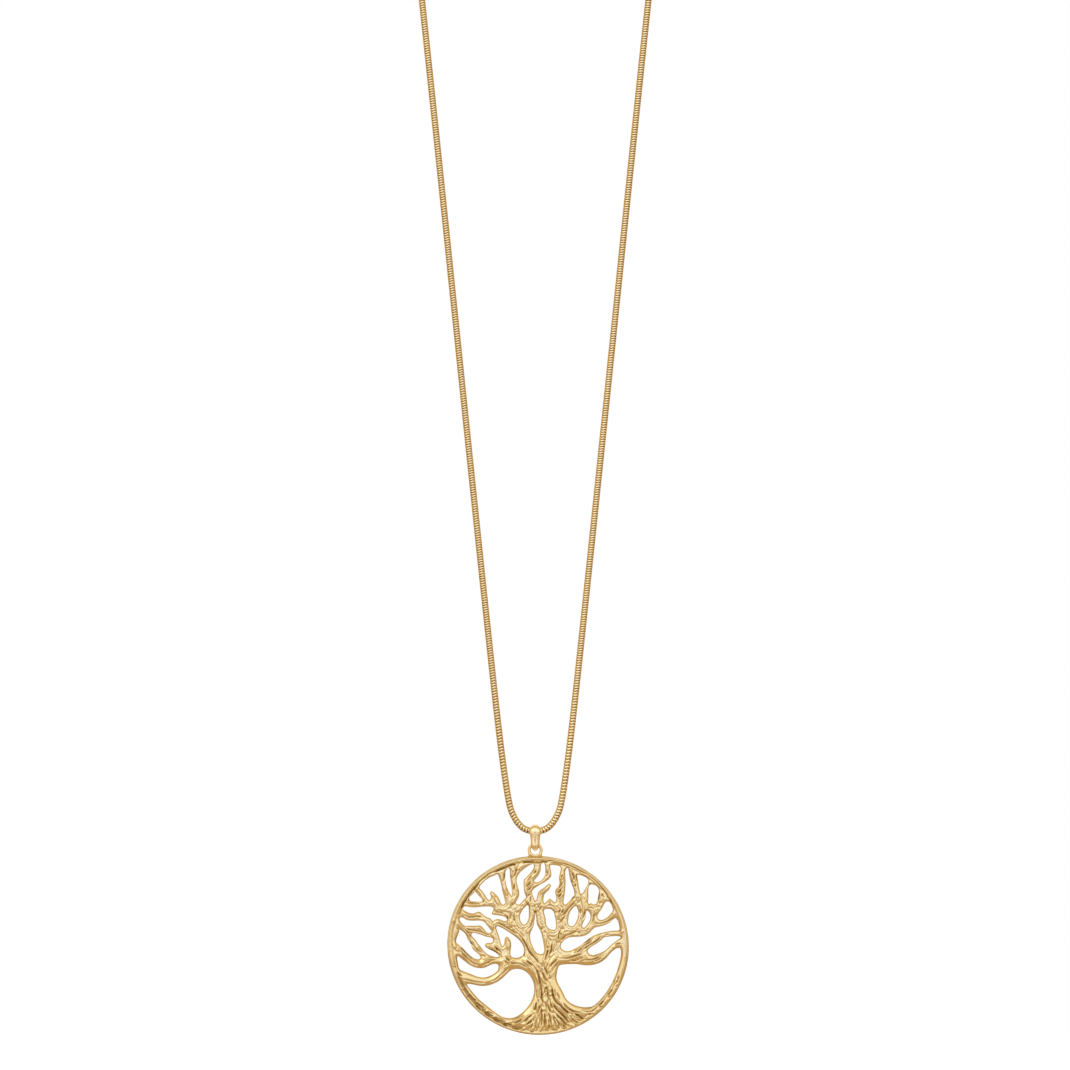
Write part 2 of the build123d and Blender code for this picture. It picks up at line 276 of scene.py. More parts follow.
# bark streaks: seed, steps each way, rise and range, the cracks between them, the share left on the
# rim, the share that the trunk loses, and the depth or rise of a stroke that leaves none
streak_seed = 3
streak_steps = 22
streak_rise = 0.068
streak_range = (-1.5, 1.0)
crack_share = 1.6
crack_width = 0.3
rim_grain = 0.35
trunk_calm = 0.6
stroke_calm = 0.2
# the spot that the roots fan out from, in hundredths
root_fan = (6.0, -42.0)
# passes of evening out: the form, the front, the hollows, the streaks' direction, their noise and swell
form_passes = 2
front_passes = 1
hollow_passes = 14
lean_passes = 60
noise_passes = 3
swell_passes = 30
# painted shade, from 0 on a ridge, pale as painted highlight, to 1 in a groove, dark as painted shade:
# on plain metal, in hollows, in cut lines, at edges and over streaks (lighter on raised ones), with what the
# trunk adds to plain metal and takes off hollows and cuts, which paints the trunk darker
plain_shade = 0.30
hollow_shade = 0.50
hollow_reach = 0.22
trunk_shade = 0.14
cut_shade = 1.2
cut_start = 0.14
trunk_cut_shade = 0.4
edge_shade = 0.25
streak_shade = 0.06
# and the plain painted shade of the medallion's back, the ring, and the bail outside and inside; the bail's
# inner face gets dark painted shade
back_shade = 0.45
ring_shade = 0.52
bail_shade = 0.3
bail_inner_shade = 0.8
# how much painted shade darkens the rim's flat channel, by the angle round from the right
RIM_SHADE = [
    # angle, darker
    (140, 0.0), (165, 0.22), (196, 0.26), (206, 0.50), (250, 0.50), (264, 0.12), (300, 0.06), (316, 0.16),
    (340, 0.10), (350, 0.0),
]

# Height of the rim above the medallion's middle plane at seven distances in from its edge, for
# angles that run round from the right: a bead with a groove and ledge above, a flat channel
# between two lips at the lower left, one inner lip at the lower right.
RIM_STEPS = (0.0, 0.3, 0.7, 1.1, 1.45, 1.9, 2.4)
rim_edge = 0.40
RIM_FORM = [
    # angle, lip, bead, shoulder, groove, ledge, inner
    (0, 0.90, 1.12, 1.12, 1.02, 0.92, 0.90),
    (22, 0.92, 1.16, 1.08, 0.86, 0.84, 0.86),
    (34, 0.95, 1.20, 1.02, 0.58, 0.78, 0.84),
    (60, 0.95, 1.20, 1.00, 0.52, 0.76, 0.84),
    (100, 0.95, 1.20, 1.00, 0.50, 0.76, 0.84),
    (148, 0.95, 1.20, 1.02, 0.56, 0.78, 0.84),
    (160, 0.95, 1.16, 1.05, 0.80, 0.90, 1.00),
    (200, 0.95, 1.12, 0.98, 0.80, 0.98, 1.02),
    (208, 1.05, 0.90, 0.70, 0.66, 0.82, 1.00),
    (250, 1.05, 0.84, 0.66, 0.64, 0.76, 0.98),
    (262, 1.02, 0.86, 0.80, 0.86, 0.92, 0.96),
    (298, 0.96, 0.90, 0.90, 0.90, 0.94, 0.98),
    (306, 0.80, 0.90, 0.92, 0.78, 1.10, 1.12),
    (332, 0.84, 0.98, 0.96, 0.80, 1.08, 1.06),
    (345, 0.88, 1.08, 1.08, 0.98, 0.96, 0.94),
]

# Bark over the tree, in hundredths of the medallion's half width and half height from its middle.
# Each group is half width and depth or rise in millimetres, and its lines: first grooves, then ropes.
GROOVES = [
    (0.28, 0.32, [
        [(-70, -65.5), (-62, -74)], [(-60, -75), (-52, -81)], [(-50, -82), (-42, -86.5)],
        [(-39.5, -88.5), (-33, -90.5)], [(-30, -92), (-20, -94)], [(-71, -60), (-67.5, -61.5)],
        [(-68, -64), (-57, -71.5)], [(-54.5, -74), (-47, -77.5)], [(-45, -80), (-36, -84.5)],
        [(-89, -28), (-86, -33), (-82, -34)], [(90, -33), (85, -44)], [(83, -47), (75, -58)],
        [(73, -61), (65, -68.5)], [(52, -74.5), (60, -74.2)], [(88, -46), (85.5, -45)],
        [(80, -56), (76, -58)], [(70, -69), (67, -68)], [(-10, -95.5), (-4, -96.5)],
        [(14, -94.5), (24, -94)], [(26, -93), (33, -92)],
    ]),
    (0.3, 0.38, [
        [(-43, -17.5), (-48, -16.2), (-52.5, -17.3), (-56.5, -20.2), (-61, -21.7)],
        [(-64, -22.3), (-70, -20.6), (-74, -18.2), (-80, -11.8), (-88, -4)],
        [(-84, -38), (-79, -38), (-73, -39.5), (-64, -41.2), (-55, -41.3)],
        [(-54, -40.2), (-48, -38.3), (-42, -33.5), (-36, -28.3), (-30.5, -23.5)],
        [(-19, -16.5), (-13, -20.5), (-7, -25)], [(-14.5, -15.5), (-9, -19.5), (-4, -24)],
        [(-39, -16.5), (-34, -19), (-30, -22)], [(-49.5, 0.3), (-45, -3.5), (-41.5, -7), (-41.3, -12.5)],
        [(-59, -9.8), (-64, -6.5), (-69, -2.5), (-73, 2), (-77, 7.5)],
        [(-49, 10.5), (-55, 12), (-62, 14.7), (-70, 16.6), (-77, 18.5), (-84, 22)],
        [(-73.5, 12), (-78, 15.5), (-84, 19.8)],
        [(-59.5, 30.3), (-64, 32.2), (-68, 32.7), (-76, 32), (-85, 34.5)],
        [(-60, 46.3), (-67, 47), (-75, 48), (-83, 47.5)], [(-66.5, 61.5), (-64, 58), (-61, 53)],
        [(-34, 34.5), (-33.3, 28)], [(-30.8, 36), (-30.4, 28)], [(-27, 36), (-26, 25)],
        [(-12.2, 17.7), (-8.3, 21.3), (-6.5, 26), (-6.3, 34)], [(-36.9, 84), (-37.2, 76), (-38.7, 69)],
        [(-26.6, 84.5), (-28.6, 79.5)], [(-22.6, 89), (-25, 81), (-27.7, 74.5)],
        [(-25.7, 70), (-26.7, 65), (-27.3, 60)], [(-1.7, 84), (-5.5, 80.3)],
        [(-6.3, 79.3), (-10, 74.5), (-13, 71)], [(-7, 72.3), (-11, 68.3), (-14, 63.5)],
        [(-5, 66.3), (-10, 63), (-13.2, 58.7)], [(9, 84), (10.4, 80.5), (6.5, 74.5)],
        [(3.7, 49), (1, 44.5), (-1, 41.3)], [(4.3, 44.5), (0.5, 38.3)], [(27.7, 79.5), (24.3, 75.3)],
        [(27.3, 71.5), (24.7, 67), (21.3, 62.7)], [(26.7, 65.3), (23, 60), (20.2, 58)],
        [(26.5, 60), (23, 55.5), (21, 53.3)], [(36.5, 84), (38.3, 79.5), (39.8, 75), (37.3, 71)],
        [(41.6, 69.3), (40.3, 64.5)], [(26.7, 18.7), (23.7, 15), (22.3, 9), (21.5, 4)],
        [(60.7, 38), (61.5, 33), (60.3, 27), (57.3, 21.5)],
        [(63.5, 22.7), (69, 24.7), (75, 26.3), (81, 29.3), (86, 34)],
        [(48.3, -5.6), (53, -1.9), (59, 2), (66, 7), (71.5, 13)],
        [(40, -9.2), (45, -5.7), (49, -1), (55, 3), (61, 7.3)],
        [(24, -14.5), (31, -14), (38, -12), (45, -10), (51, -8.5)],
        [(31, -16.7), (38, -16.8), (43, -16.2), (48, -13), (53, -11.5)],
        [(47, -17.5), (54, -16), (60, -15.5), (66, -12.8), (71, -10)], [(60, -18), (66, -15.8), (72, -11)],
        [(83, 0.3), (87.5, 2.2), (92, 2.2)], [(58, 70.5), (56, 66)],
        [(16.8, 4), (14.8, 0), (14.5, -5), (12.5, -9.5), (10.5, -12.5)],
        [(20.5, -7), (16, -11.5), (12.5, -16), (10, -21)],
        [(23.5, -12), (18.5, -16.5), (14.5, -21.5), (12, -27)],
        [(24.5, -17), (20, -21.5), (16.5, -27), (15, -32)],
        [(10.8, -2), (10.3, -7), (8.5, -13), (6.5, -19)],
        [(-10, -3), (-7.5, -8.5), (-3, -14), (0, -18), (2, -22)], [(-16, -3), (-15.5, -9), (-14.5, -13.5)],
        [(-4.2, 46), (-3.5, 42.5)], [(-8.7, 47), (-8.3, 52), (-8, 57)], [(-18.5, 44), (-16.5, 46)],
        [(-50, 36.8), (-45, 37.4), (-40, 36.5), (-36, 33.8)], [(-66.5, 2.5), (-62.5, -2), (-60, -5.5)],
        [(-64, -12), (-60, -11), (-56, -12.5)],
        [(-88.5, 0), (-84, -3.5), (-79.5, -7.5), (-75, -11.5), (-70.5, -14.5)],
        [(-57.5, -1.5), (-53, -4), (-48, -6.5), (-44.5, -9), (-42.5, -12)],
        [(60, 8.5), (56, 6.5), (52, 3.5), (48, 0.5)], [(72.5, 11), (76, 12.3), (80, 12.5)],
        [(25.7, 14.5), (24.8, 10.5)], [(30, 17), (27.8, 13)], [(25, 41), (22, 36)],
        [(28.5, 41.5), (25, 35)], [(36, 51.5), (40.5, 55)], [(70.5, 59), (71.5, 55.5), (73.5, 52.5)],
        [(67.6, 60), (66.8, 53), (66, 48)], [(52, 40), (50.5, 33), (48.5, 28)], [(47, 42), (46, 34)],
    ]),
    (0.31, 0.42, [
        [(1.5, -29), (5, -31), (7, -35), (9.8, -39.5), (12.8, -44.5)],
        [(6, -22), (8, -26), (10, -31), (10.5, -36)],
        [(-38, -11), (-33, -15.5), (-28, -19.5), (-21, -20), (-15, -22.5), (-10, -26)],
        [(-47, 23.5), (-41, 24), (-34, 19.8), (-27, 15.5), (-21.5, 11.5)],
        [(-19.5, 10), (-16.3, 6.2), (-13.3, 1), (-10, -6), (-6, -11), (-2.5, -14.3)],
        [(43, 50), (38, 46.2), (33.5, 41.5), (29, 35.5), (24.7, 31)],
        [(31.5, 35), (26, 28.5), (21.5, 22.7)],
        [(23, 3), (27, 7), (31, 11), (36, 13.5), (41, 15), (46, 13.7)],
    ]),
    (0.34, 0.44, [
        [
            (-88, 28), (-86.5, 34), (-84.5, 41), (-82.5, 47), (-79, 52), (-76, 57), (-73, 61), (-70.5, 64),
            (-67.5, 67.5), (-65.5, 70.3), (-62, 73.5), (-59, 76), (-55.5, 79), (-51.5, 81.3), (-48.5, 82.8),
            (-44.5, 84.3), (-40, 86), (-36, 87.5), (-31, 90), (-26.5, 91.3), (-22.5, 91.8),
        ],
        [
            (-20.5, 93), (-16.5, 93.6), (-12.5, 93.8), (-8, 93.2), (-2, 92.5), (5, 93.2), (10, 94.5),
            (15.5, 94.7), (19.5, 93.5),
        ],
        [
            (22, 93), (28, 91.5), (34, 89.7), (40, 87), (45, 84), (50, 81.5), (54.5, 79.5), (58.5, 76),
            (62.5, 72.8), (66, 69.5), (69, 66), (71.5, 62.5), (74, 59.5), (76.5, 55.5), (79, 52),
            (81, 47.5), (84, 42),
        ],
    ]),
    (0.36, 0.5, [
        [
            (-4.5, -25), (-1, -28.5), (0.8, -34), (2.2, -41), (3.2, -46), (3.6, -52), (4, -58),
            (5.5, -62.5), (8, -66),
        ],
        [(9, -64.5), (10.5, -67), (12, -70), (13.5, -73.5), (15.5, -76)],
        [
            (15.5, -45), (15.7, -50), (16.5, -56), (18.5, -60.5), (21, -64), (25, -66.5), (28, -70),
            (33, -74.5), (36.5, -76.5),
        ],
        [(15.5, -63), (18, -67.5), (21, -71.5), (25, -75), (28, -78), (31, -81.5), (34, -86), (38, -90)],
        [(38, -75), (41, -76), (44, -77.5), (47, -79.8), (50, -82), (53, -81.5)],
    ]),
    (0.31, 0.42, [
        [(15.5, -76), (17, -80), (18.2, -84), (19.3, -88), (19.8, -95)],
        [(8.5, -62), (9, -66), (9.5, -70), (11, -75), (12.5, -78), (13.5, -82), (14.2, -88), (14.8, -96)],
        [(4, -68.5), (3.8, -73), (4, -79), (3.4, -87), (2.3, -95)],
        [(7, -73), (7.3, -78), (7.6, -84), (7.2, -89), (6, -95)],
        [(-1.5, -61), (-2.5, -66), (-3.6, -70.5), (-4, -74.5)],
        [(-4.5, -75.5), (-8, -78), (-12, -81), (-15, -84), (-18.5, -87)],
        [(-4, -80), (-6.5, -83), (-9.5, -85.5), (-12.5, -88), (-15, -91)],
        [(-16, -81.5), (-20, -83.7), (-25, -85.7), (-31, -87)],
        [(6, -57), (6.5, -53), (7.5, -50), (9, -47.5), (10.3, -52), (11, -57), (12, -61), (12.8, -64)],
        [(15.5, -77), (18.5, -80.5), (21.5, -84), (24, -88.5), (26, -94)],
        [(26.5, -62.5), (29, -65.5), (32, -68.5), (36, -71.5), (40, -73.5), (45, -74.3), (50, -73)],
        [(18, -73.5), (21, -77.5), (24.5, -81), (27.5, -84), (30.5, -88), (33.5, -92)],
        [(34, -79), (37, -81.5), (40, -84), (43.5, -86), (47, -86.5)],
    ]),
    (0.26, 0.32, [
        [(2.8, -65.5), (1.5, -68.5), (0.5, -72), (-1, -76), (-2.5, -79.5)],
        [(-3, -78.5), (-4.7, -83), (-6.5, -88), (-8.5, -92), (-10.5, -96)],
        [(-1, -80), (-2, -85), (-3, -90), (-4, -96)], [(1.7, -80), (2, -85), (0.8, -91), (-0.5, -96)],
        [(-20, -94.5), (-25, -93.3), (-31, -92)], [(20, -51), (22, -55), (23.5, -59), (24.5, -63)],
        [(12.5, -55), (13, -59), (13.5, -63), (15, -67), (17.5, -70.5), (20, -73.5)],
        [(11.5, -80), (12.2, -88), (12.2, -96)], [(22.5, -88.5), (23.2, -94)], [(27.5, -87), (29.5, -93)],
        [(1.2, -46), (1.4, -53), (1.2, -60)], [(-1.5, -48), (-1.5, -54), (-2.5, -60)],
        [(0.5, -60), (-0.2, -64.5)], [(18, -47), (18.7, -53), (20.8, -59)], [(10, -77), (10.3, -80)],
        [(52, -76.5), (57, -76.5), (61, -77)], [(40, -81.5), (44.5, -83.5), (49, -84)],
        [(30, -78.5), (33.5, -81.5), (36.5, -85), (40, -88)], [(37.5, -78.5), (41.5, -79.8), (46, -82)],
    ]),
]
ROPES = [
    (0.33, 0.26, [
        [(-22, 19), (-20, 13), (-16.5, 8.8), (-13, 3.8), (-10, -1.5), (-6.5, -7.5), (-2, -13), (2, -18)],
        [(-16.5, 1), (-14.8, -4), (-14.5, -10), (-13.5, -15)],
        [(-12.5, -6), (-11, -11), (-8, -16), (-4.5, -21), (-2, -25)],
        [(7.5, 14), (8.5, 7), (8, 0), (8.5, -6), (7, -12), (5, -18), (4.5, -21)],
        [(14, 3), (13.3, -3), (11.8, -8), (9.3, -14), (7.3, -19)],
        [(19, 6), (16.8, 1), (16, -4), (13.8, -8.5)],
        [(21.5, -5), (17, -9.7), (13, -14.7), (10, -19.5), (8.5, -24)],
        [(24.5, -8.5), (20.5, -12.5), (16, -17.5), (13, -22)], [(24, -14), (20, -18.7), (17, -23)],
        [(10.5, 20), (11, 13), (11.5, 8)], [(-38, -13), (-32, -17.3), (-27, -18), (-22, -18)],
        [(-37, -9), (-33, -12.8), (-28.5, -16.8)], [(-20, -14.5), (-15, -18), (-11, -21), (-7.5, -24)],
        [(-13, -14.5), (-8, -18.2), (-3.5, -22.5), (0, -27)], [(-38, -21.5), (-34, -20.5), (-31, -19.8)],
        [(-38, -25), (-34, -23), (-31.5, -21.3)], [(-38, 26.5), (-33, 25.3), (-28.5, 23), (-26, 22)],
        [(-3.5, 91), (-3.6, 86), (-6.3, 82), (-10, 78.3), (-13.3, 74.5)],
        [(-13.3, 68.5), (-11, 71.7), (-8.3, 74)], [(-13.3, 63), (-10.5, 66.3), (-7, 69.3), (-4, 70.3)],
        [(-13, 57.5), (-11, 60.8), (-8.5, 63)], [(-12.8, 53.5), (-11.5, 56.5), (-10, 60)],
        [(-14, 52), (-12.5, 49)], [(-28.7, 87), (-27.3, 82), (-29, 77), (-30, 73)],
        [(-27, 91), (-24.7, 88), (-25.7, 84)], [(-26.5, 73), (-27.7, 66), (-28.7, 61)],
        [(-24, 77), (-24.5, 71), (-23.7, 65), (-24, 58)], [(-37.5, 66), (-35.5, 60), (-32.5, 55)],
        [(-31.5, 53), (-30, 48), (-29.5, 43)], [(-20.5, 43.2), (-17, 46.8)],
        [(1.5, 56), (3.7, 59), (6.7, 62), (10.5, 66)], [(0.5, 42.3), (3, 46.5)],
        [(-0.7, 38.3), (1.3, 41.5)], [(12, 50.5), (13.5, 47.5)],
        [(-9.5, 52), (-9.3, 45), (-9.3, 38), (-9.7, 32)],
    ]),
    (0.32, 0.26, [
        [(26, 89.5), (25.5, 84), (25, 79)], [(24.3, 72.5), (28, 77.5)], [(22, 65.3), (25, 69.3), (28, 74)],
        [(20.5, 60.3), (24, 63.8), (27.7, 68.3)], [(20.7, 56), (24, 59), (27.5, 63.5)],
        [(22, 51.5), (25, 55), (27.5, 58.7)], [(36.7, 80), (38.2, 75), (38, 72)],
        [(40.8, 82), (41.2, 77), (41, 71)], [(39, 69), (38.7, 65.5)], [(39.5, 63), (42, 60)],
        [(45.5, 60.5), (47, 55), (48.5, 50), (49.7, 44), (50, 37), (49, 31)],
        [(55.3, 73.5), (54, 66), (51.5, 60.5), (48.5, 57)],
        [(25, 34), (29, 39.7), (33, 45), (38, 49), (42.5, 52)], [(39, 53), (43, 56.5)],
        [(53, 43.5), (59, 43.5)], [(68.8, 62), (68, 56), (67.3, 50), (66.5, 46)],
        [(61.7, 42), (63, 38), (63.2, 34)], [(23, 41), (20.5, 37)],
        [(26.7, 41.3), (23.3, 34.7), (21, 31.5)], [(30.3, 42.3), (26.7, 36.3)],
        [(53.5, 62), (54, 55), (52.5, 49)], [(64, 45.5), (66.5, 45)],
        [(33.5, 87.5), (35.5, 82), (36.5, 77)], [(66, 26.7), (71, 28), (76, 29.7), (80.5, 32.5), (85, 38)],
        [(61, 25), (59.5, 20.5), (57, 17.5)], [(44, 20), (41.5, 18)], [(38.5, 18), (36, 15.7)],
        [(48, 17.5), (45, 16.3)], [(28.5, 17.5), (26.2, 12), (24.7, 7.5)],
        [(31.7, 20), (29.2, 15), (27, 11)], [(21.8, 13.5), (20.5, 8), (19.5, 3)],
        [(64, 9.7), (58, 7), (52, 3), (47, -1.5), (42, -6), (37, -9.3)],
        [(70, 12.7), (65, 8.3), (61, 5), (56, 1.7), (51, -1.3), (46.5, -5)],
        [(72, 10), (68, 6), (64, 3.5), (59.5, 0.7)], [(73, 14.7), (68, 13.7), (63, 11.7), (58, 9)],
        [(38, -10.3), (33, -11.5), (27, -12.7), (22, -13)],
        [(50, -9.8), (44, -11.7), (38, -14), (32, -15.5)], [(56, -13.3), (51, -14), (46.5, -16.3)],
        [(71, -11.7), (66, -14.2), (61, -16.7)], [(73, -8.7), (66, -11.7), (60, -14)],
        [(84, -1), (88, 0.7), (92, 0.5)],
    ]),
    (0.33, 0.26, [
        [(-88.7, 28), (-87, 24.5), (-83.5, 21.3), (-79, 19.7), (-73, 19)],
        [(-86, 20.7), (-82, 17.7), (-77, 13.3), (-73, 9), (-69, 5)],
        [(-72, 21.3), (-66, 21), (-62, 19.3), (-59, 16.5)],
        [(-71, 7), (-67, 3), (-63, -1.3), (-59.5, -5.7), (-55, -10), (-50, -12.3)],
        [(-69.5, 0), (-65, -4.3), (-61.5, -8)],
        [(-63, -14), (-58, -15), (-52, -14), (-47, -13.8), (-43, -14)],
        [(-90.5, -1), (-86.7, -3.5), (-82, -7.5), (-77, -12), (-72, -16), (-67, -18.5), (-62, -19)],
        [(-87.5, -7.5), (-83, -10.7), (-79, -14.3), (-75, -17.5)],
        [(-56, 0.5), (-51, -1.3), (-47, -4.3), (-43.5, -8)],
        [(-49, 3), (-46.5, 0), (-43.5, -2.5), (-40.5, -5)], [(-51, 27.5), (-50, 22), (-49.3, 16)],
        [(-53.5, 13), (-50.5, 12)], [(-58, 27.5), (-54.5, 23), (-52, 18)],
        [(-47, 27.5), (-43.5, 28), (-39.5, 26), (-36, 23.7)], [(-34.5, 7), (-34.2, 1), (-34, -6)],
        [(-40.2, -8), (-39.5, -13)], [(-66.5, 62.5), (-63, 56.5), (-59, 50.7)], [(-79, 49.5), (-71, 49.5)],
        [(-80, 45.8), (-74, 45.3), (-66, 45.5)], [(-51.5, 57.5), (-48, 54), (-45, 48), (-43, 42)],
        [(-49, 39.5), (-45, 40.7), (-41, 41.7)], [(-83, 37.3), (-78, 34.5), (-72, 34), (-66, 34.7)],
        [(-47.5, 56), (-43.5, 50), (-41, 44)], [(-56, 44.5), (-51, 42.5)],
    ]),
    (0.36, 0.27, [
        [(-1.7, -33), (-0.3, -38), (0.8, -43.5)], [(2.3, -32.5), (4.7, -37), (7.3, -42)],
        [(9.7, -42), (10.7, -47)],
    ]),
    (0.36, 0.32, [
        [(-5, -74.5), (-9, -77), (-13, -80), (-17, -83), (-22, -86), (-27, -88.7), (-31, -90.8)],
        [(1.5, -65), (0, -67), (-0.8, -70), (-2.3, -74.5)],
        [(-6, -80.7), (-9.5, -83.2), (-13, -86), (-16.5, -88.7)],
        [(24.5, -64.5), (28, -68.5), (31.5, -71.5), (35, -73.5), (40, -74.9), (46, -75.4), (52, -74.2)],
        [(37, -77), (41, -78.2), (45, -80.2), (49, -83)],
        [(20, -74), (24, -77.7), (27.5, -80.8), (30.5, -83)],
        [(45, -71.7), (52, -72), (58, -71.5), (62, -69.5), (66, -66)],
    ]),
    (0.3, 0.26, [
        [(-12, -76.5), (-18, -80), (-24, -83), (-31, -84.7)], [(1.7, -71), (1, -75), (-1, -79.5)],
        [(-4.5, -84), (-6.8, -87), (-9.7, -89.7)], [(-12.5, -91), (-16, -93), (-20, -95)],
        [(-3.5, -89.5), (-5.2, -93), (-8.5, -96.7)], [(0.8, -83), (0.2, -89)],
        [(4.5, -89.5), (3.3, -93), (2, -97)], [(5.6, -75), (6, -81), (6, -86)],
        [(10, -77.5), (10.4, -84), (9.8, -89), (8.6, -96)], [(11.6, -84), (10.8, -90), (11, -96)],
        [(15.3, -83), (16, -89), (16, -96)], [(18.2, -89), (18.5, -95)], [(7.2, -49), (5.7, -52), (5, -56)],
        [(9.2, -50), (9, -55)], [(10.2, -57), (10.5, -62)],
        [(17.8, -46), (17.7, -52), (19.7, -57.5), (22.5, -62.5)],
        [(22.5, -67), (26, -70.7), (30, -74.2), (34.5, -77.5)], [(12, -63), (13.2, -67), (14.7, -70.5)],
        [(14.3, -59.5), (15, -63), (16.7, -67), (19.3, -70.5)], [(32, -84), (35.5, -87.7), (40, -91)],
        [(22, -80), (25.5, -84), (28.7, -88), (31, -92)],
        [(17, -77), (20, -80.5), (23, -84.5), (25.3, -89)],
        [(7.3, -66.5), (9, -71), (11.2, -75), (14, -78.5)], [(21, -86), (21.7, -92)],
        [(0, -46), (-0.2, -53), (-0.3, -60)], [(2.4, -48), (2.6, -54), (2.4, -60)],
        [(12.3, -46), (13, -50), (12.3, -53.5)], [(52.5, -75), (57, -74.7), (62, -75)],
        [(39.5, -84.5), (43.5, -87.5), (47, -88)], [(-3, -62), (-4.3, -68), (-5, -72)],
        [(0.3, -60.5), (-1, -65), (-2, -68.5)], [(4.5, -61), (3.3, -65), (2.7, -69)],
    ]),
    (0.32, 0.24, [
        [(-23.5, 89.5), (-21, 92.6), (-19, 95.7)], [(18.5, 92), (21, 95), (23, 97.2)],
        [(-94, -21.5), (-90, -22.5)], [(-84.5, -49), (-80.5, -46)], [(-79.5, -57), (-75.3, -53)],
        [(-69.5, -63.8), (-65.5, -61.7)], [(-60.5, -74.3), (-54, -72.3)], [(-52.5, -80.8), (-46, -78.8)],
        [(-41, -87.5), (-35, -86), (-30, -85.5)], [(-31, -91), (-24, -87.5), (-17, -84)],
        [(-19, -94.3), (-13, -90.5)], [(-9.5, -96.3), (-4, -90)], [(88.3, -36), (83.5, -43.5)],
        [(82.5, -46), (75.5, -56.7)], [(73, -59), (64, -67.7)], [(60, -71), (50, -73.7)],
    ]),
]

# Punched pits: radius and depth in millimetres, and their places
PITS = [
    (0.3, 0.3, [
        (-60.5, 49.8), (-18, 44), (37.2, 71), (66.8, 43.5), (-26.5, 17), (7.5, 14.7), (13.5, 6),
        (10.8, -2.5), (12.5, -12.5), (23, 28.5), (20.7, 37), (45.5, 13.5), (-73.8, -18.5), (-60, -21.5),
        (-57, -20), (8.5, -43), (13, -37), (12.5, -71), (15.5, -75), (6, -73.5), (-3.7, -71.5), (7.3, -88),
    ]),
    (0.35, 0.35, [
        (-70.5, 63.8), (-76.5, 50.7), (-23, 37.2), (-11.5, 47), (-10, 56.3), (68.3, 47.5), (-29.5, 20),
        (26.5, 18.3), (23, 3.5), (-41.3, -10),
    ]),
    (0.35, 0.3, [(-83, 47), (44, 48), (-63, 31.8), (40.8, 14)]),
    (0.3, 0.35, [(9.3, 81), (9.5, -39.5), (14, -56.5)]),
    (0.35, 0.4, [(71, 56), (3.5, 18.5)]),
    (0.45, 0.4, [(-27.3, 45.8)]),
    (0.4, 0.6, [(-3, 37.5)]),
]

# Round knobs: radius and rise in millimetres, and their places
KNOBS = [
    (0.4, 0.3, [(91.5, 16), (5.7, -71), (35.8, 84.6)]),
    (0.45, 0.25, [(-68, 63.7), (-91, -0.7)]),
    (0.45, 0.3, [(14, -54.5), (16, -71.7)]),
    (0.45, 0.2, [(-93.5, 28)]),
    (0.5, 0.35, [(7, -61.7)]),
    (0.5, 0.2, [(-15.5, -87.7)]),
    (0.35, 0.2, [(-34.5, 6)]),
    (0.4, 0.25, [(38, 73.4)]),
    (0.35, 0.25, [(58.5, 46)]),
    (0.4, 0.2, [(-52, 12.7)]),
]


def smoothstep(x):
    """A soft ramp from 0 to 1."""
    x = np.clip(x, 0.0, 1.0)
    return x * x * (3.0 - 2.0 * x)


def rising(values, start, reach):
    """0 up to start, then softly up to 1 over the reach."""
    return smoothstep((values - start) / reach)


def falling(values, end, reach):
    """1 until the reach before the end, then softly down to 0 there."""
    return smoothstep((end - values) / reach)


def put_in_scene(thing):
    """Puts an object in the scene."""
    bpy.context.scene.collection.objects.link(thing)
    return thing


def mesh_piece(name, vertices, faces, material, painted_shades):
    """A smooth-shaded piece from vertices in millimetres, with each vertex's painted shade in its depth
    attribute for its finish.
    """
    mesh = bpy.data.meshes.new(name)
    mesh.from_pydata((np.asarray(vertices) * MM).tolist(), [], faces)
    mesh.update()
    mesh.shade_smooth()
    mesh.materials.append(material)
    layer = mesh.attributes.new("depth", "FLOAT", "POINT")
    layer.data.foreach_set("value", np.asarray(painted_shades, np.float32))
    return put_in_scene(bpy.data.objects.new(name, mesh))


def wrapped_faces(rows, columns):
    """Four-sided faces over a grid of points that closes both ways round."""
    one = np.arange(rows * columns).reshape(rows, columns)
    after = np.roll(one, -1, 0)
    return np.stack([one, after, np.roll(after, -1, 1), np.roll(one, -1, 1)], -1).reshape(-1, 4)


# nodes that the world and the finishes are made of
def feed(tree, socket, value):
    """Links a socket to another one, or gives it a plain value."""
    if hasattr(value, "links"):
        tree.links.new(value, socket)
    else:
        socket.default_value = value


def noise(tree, place, scale, detail=2.0):
    """A noise texture over a place."""
    node = tree.nodes.new("ShaderNodeTexNoise")
    node.inputs["Detail"].default_value = detail
    tree.links.new(place, node.inputs["Vector"])
    feed(tree, node.inputs["Scale"], scale)
    return node.outputs["Fac"]


def math_node(tree, operation, first, second):
    """One sum on two values, each a socket or a number."""
    node = tree.nodes.new("ShaderNodeMath")
    node.operation = operation
    feed(tree, node.inputs[0], first)
    feed(tree, node.inputs[1], second)
    return node.outputs["Value"]


def ramp_node(tree, value, low, high):
    """A soft ramp of a value from 0 at low to 1 at high."""
    node = tree.nodes.new("ShaderNodeMapRange")
    node.interpolation_type = "SMOOTHSTEP"
    node.inputs["From Min"].default_value = low
    node.inputs["From Max"].default_value = high
    tree.links.new(value, node.inputs["Value"])
    return node.outputs["Result"]


def colour_mix(tree, share, first, second, blend="MIX"):
    """A mix of two colours by a share; a colour mix node has its colours at sockets 6 and 7."""
    node = tree.nodes.new("ShaderNodeMix")
    node.data_type = "RGBA"
    node.blend_type = blend
    for socket, value in ((node.inputs["Factor"], share), (node.inputs[6], first), (node.inputs[7], second)):
        feed(tree, socket, value)
    return node.outputs[2]


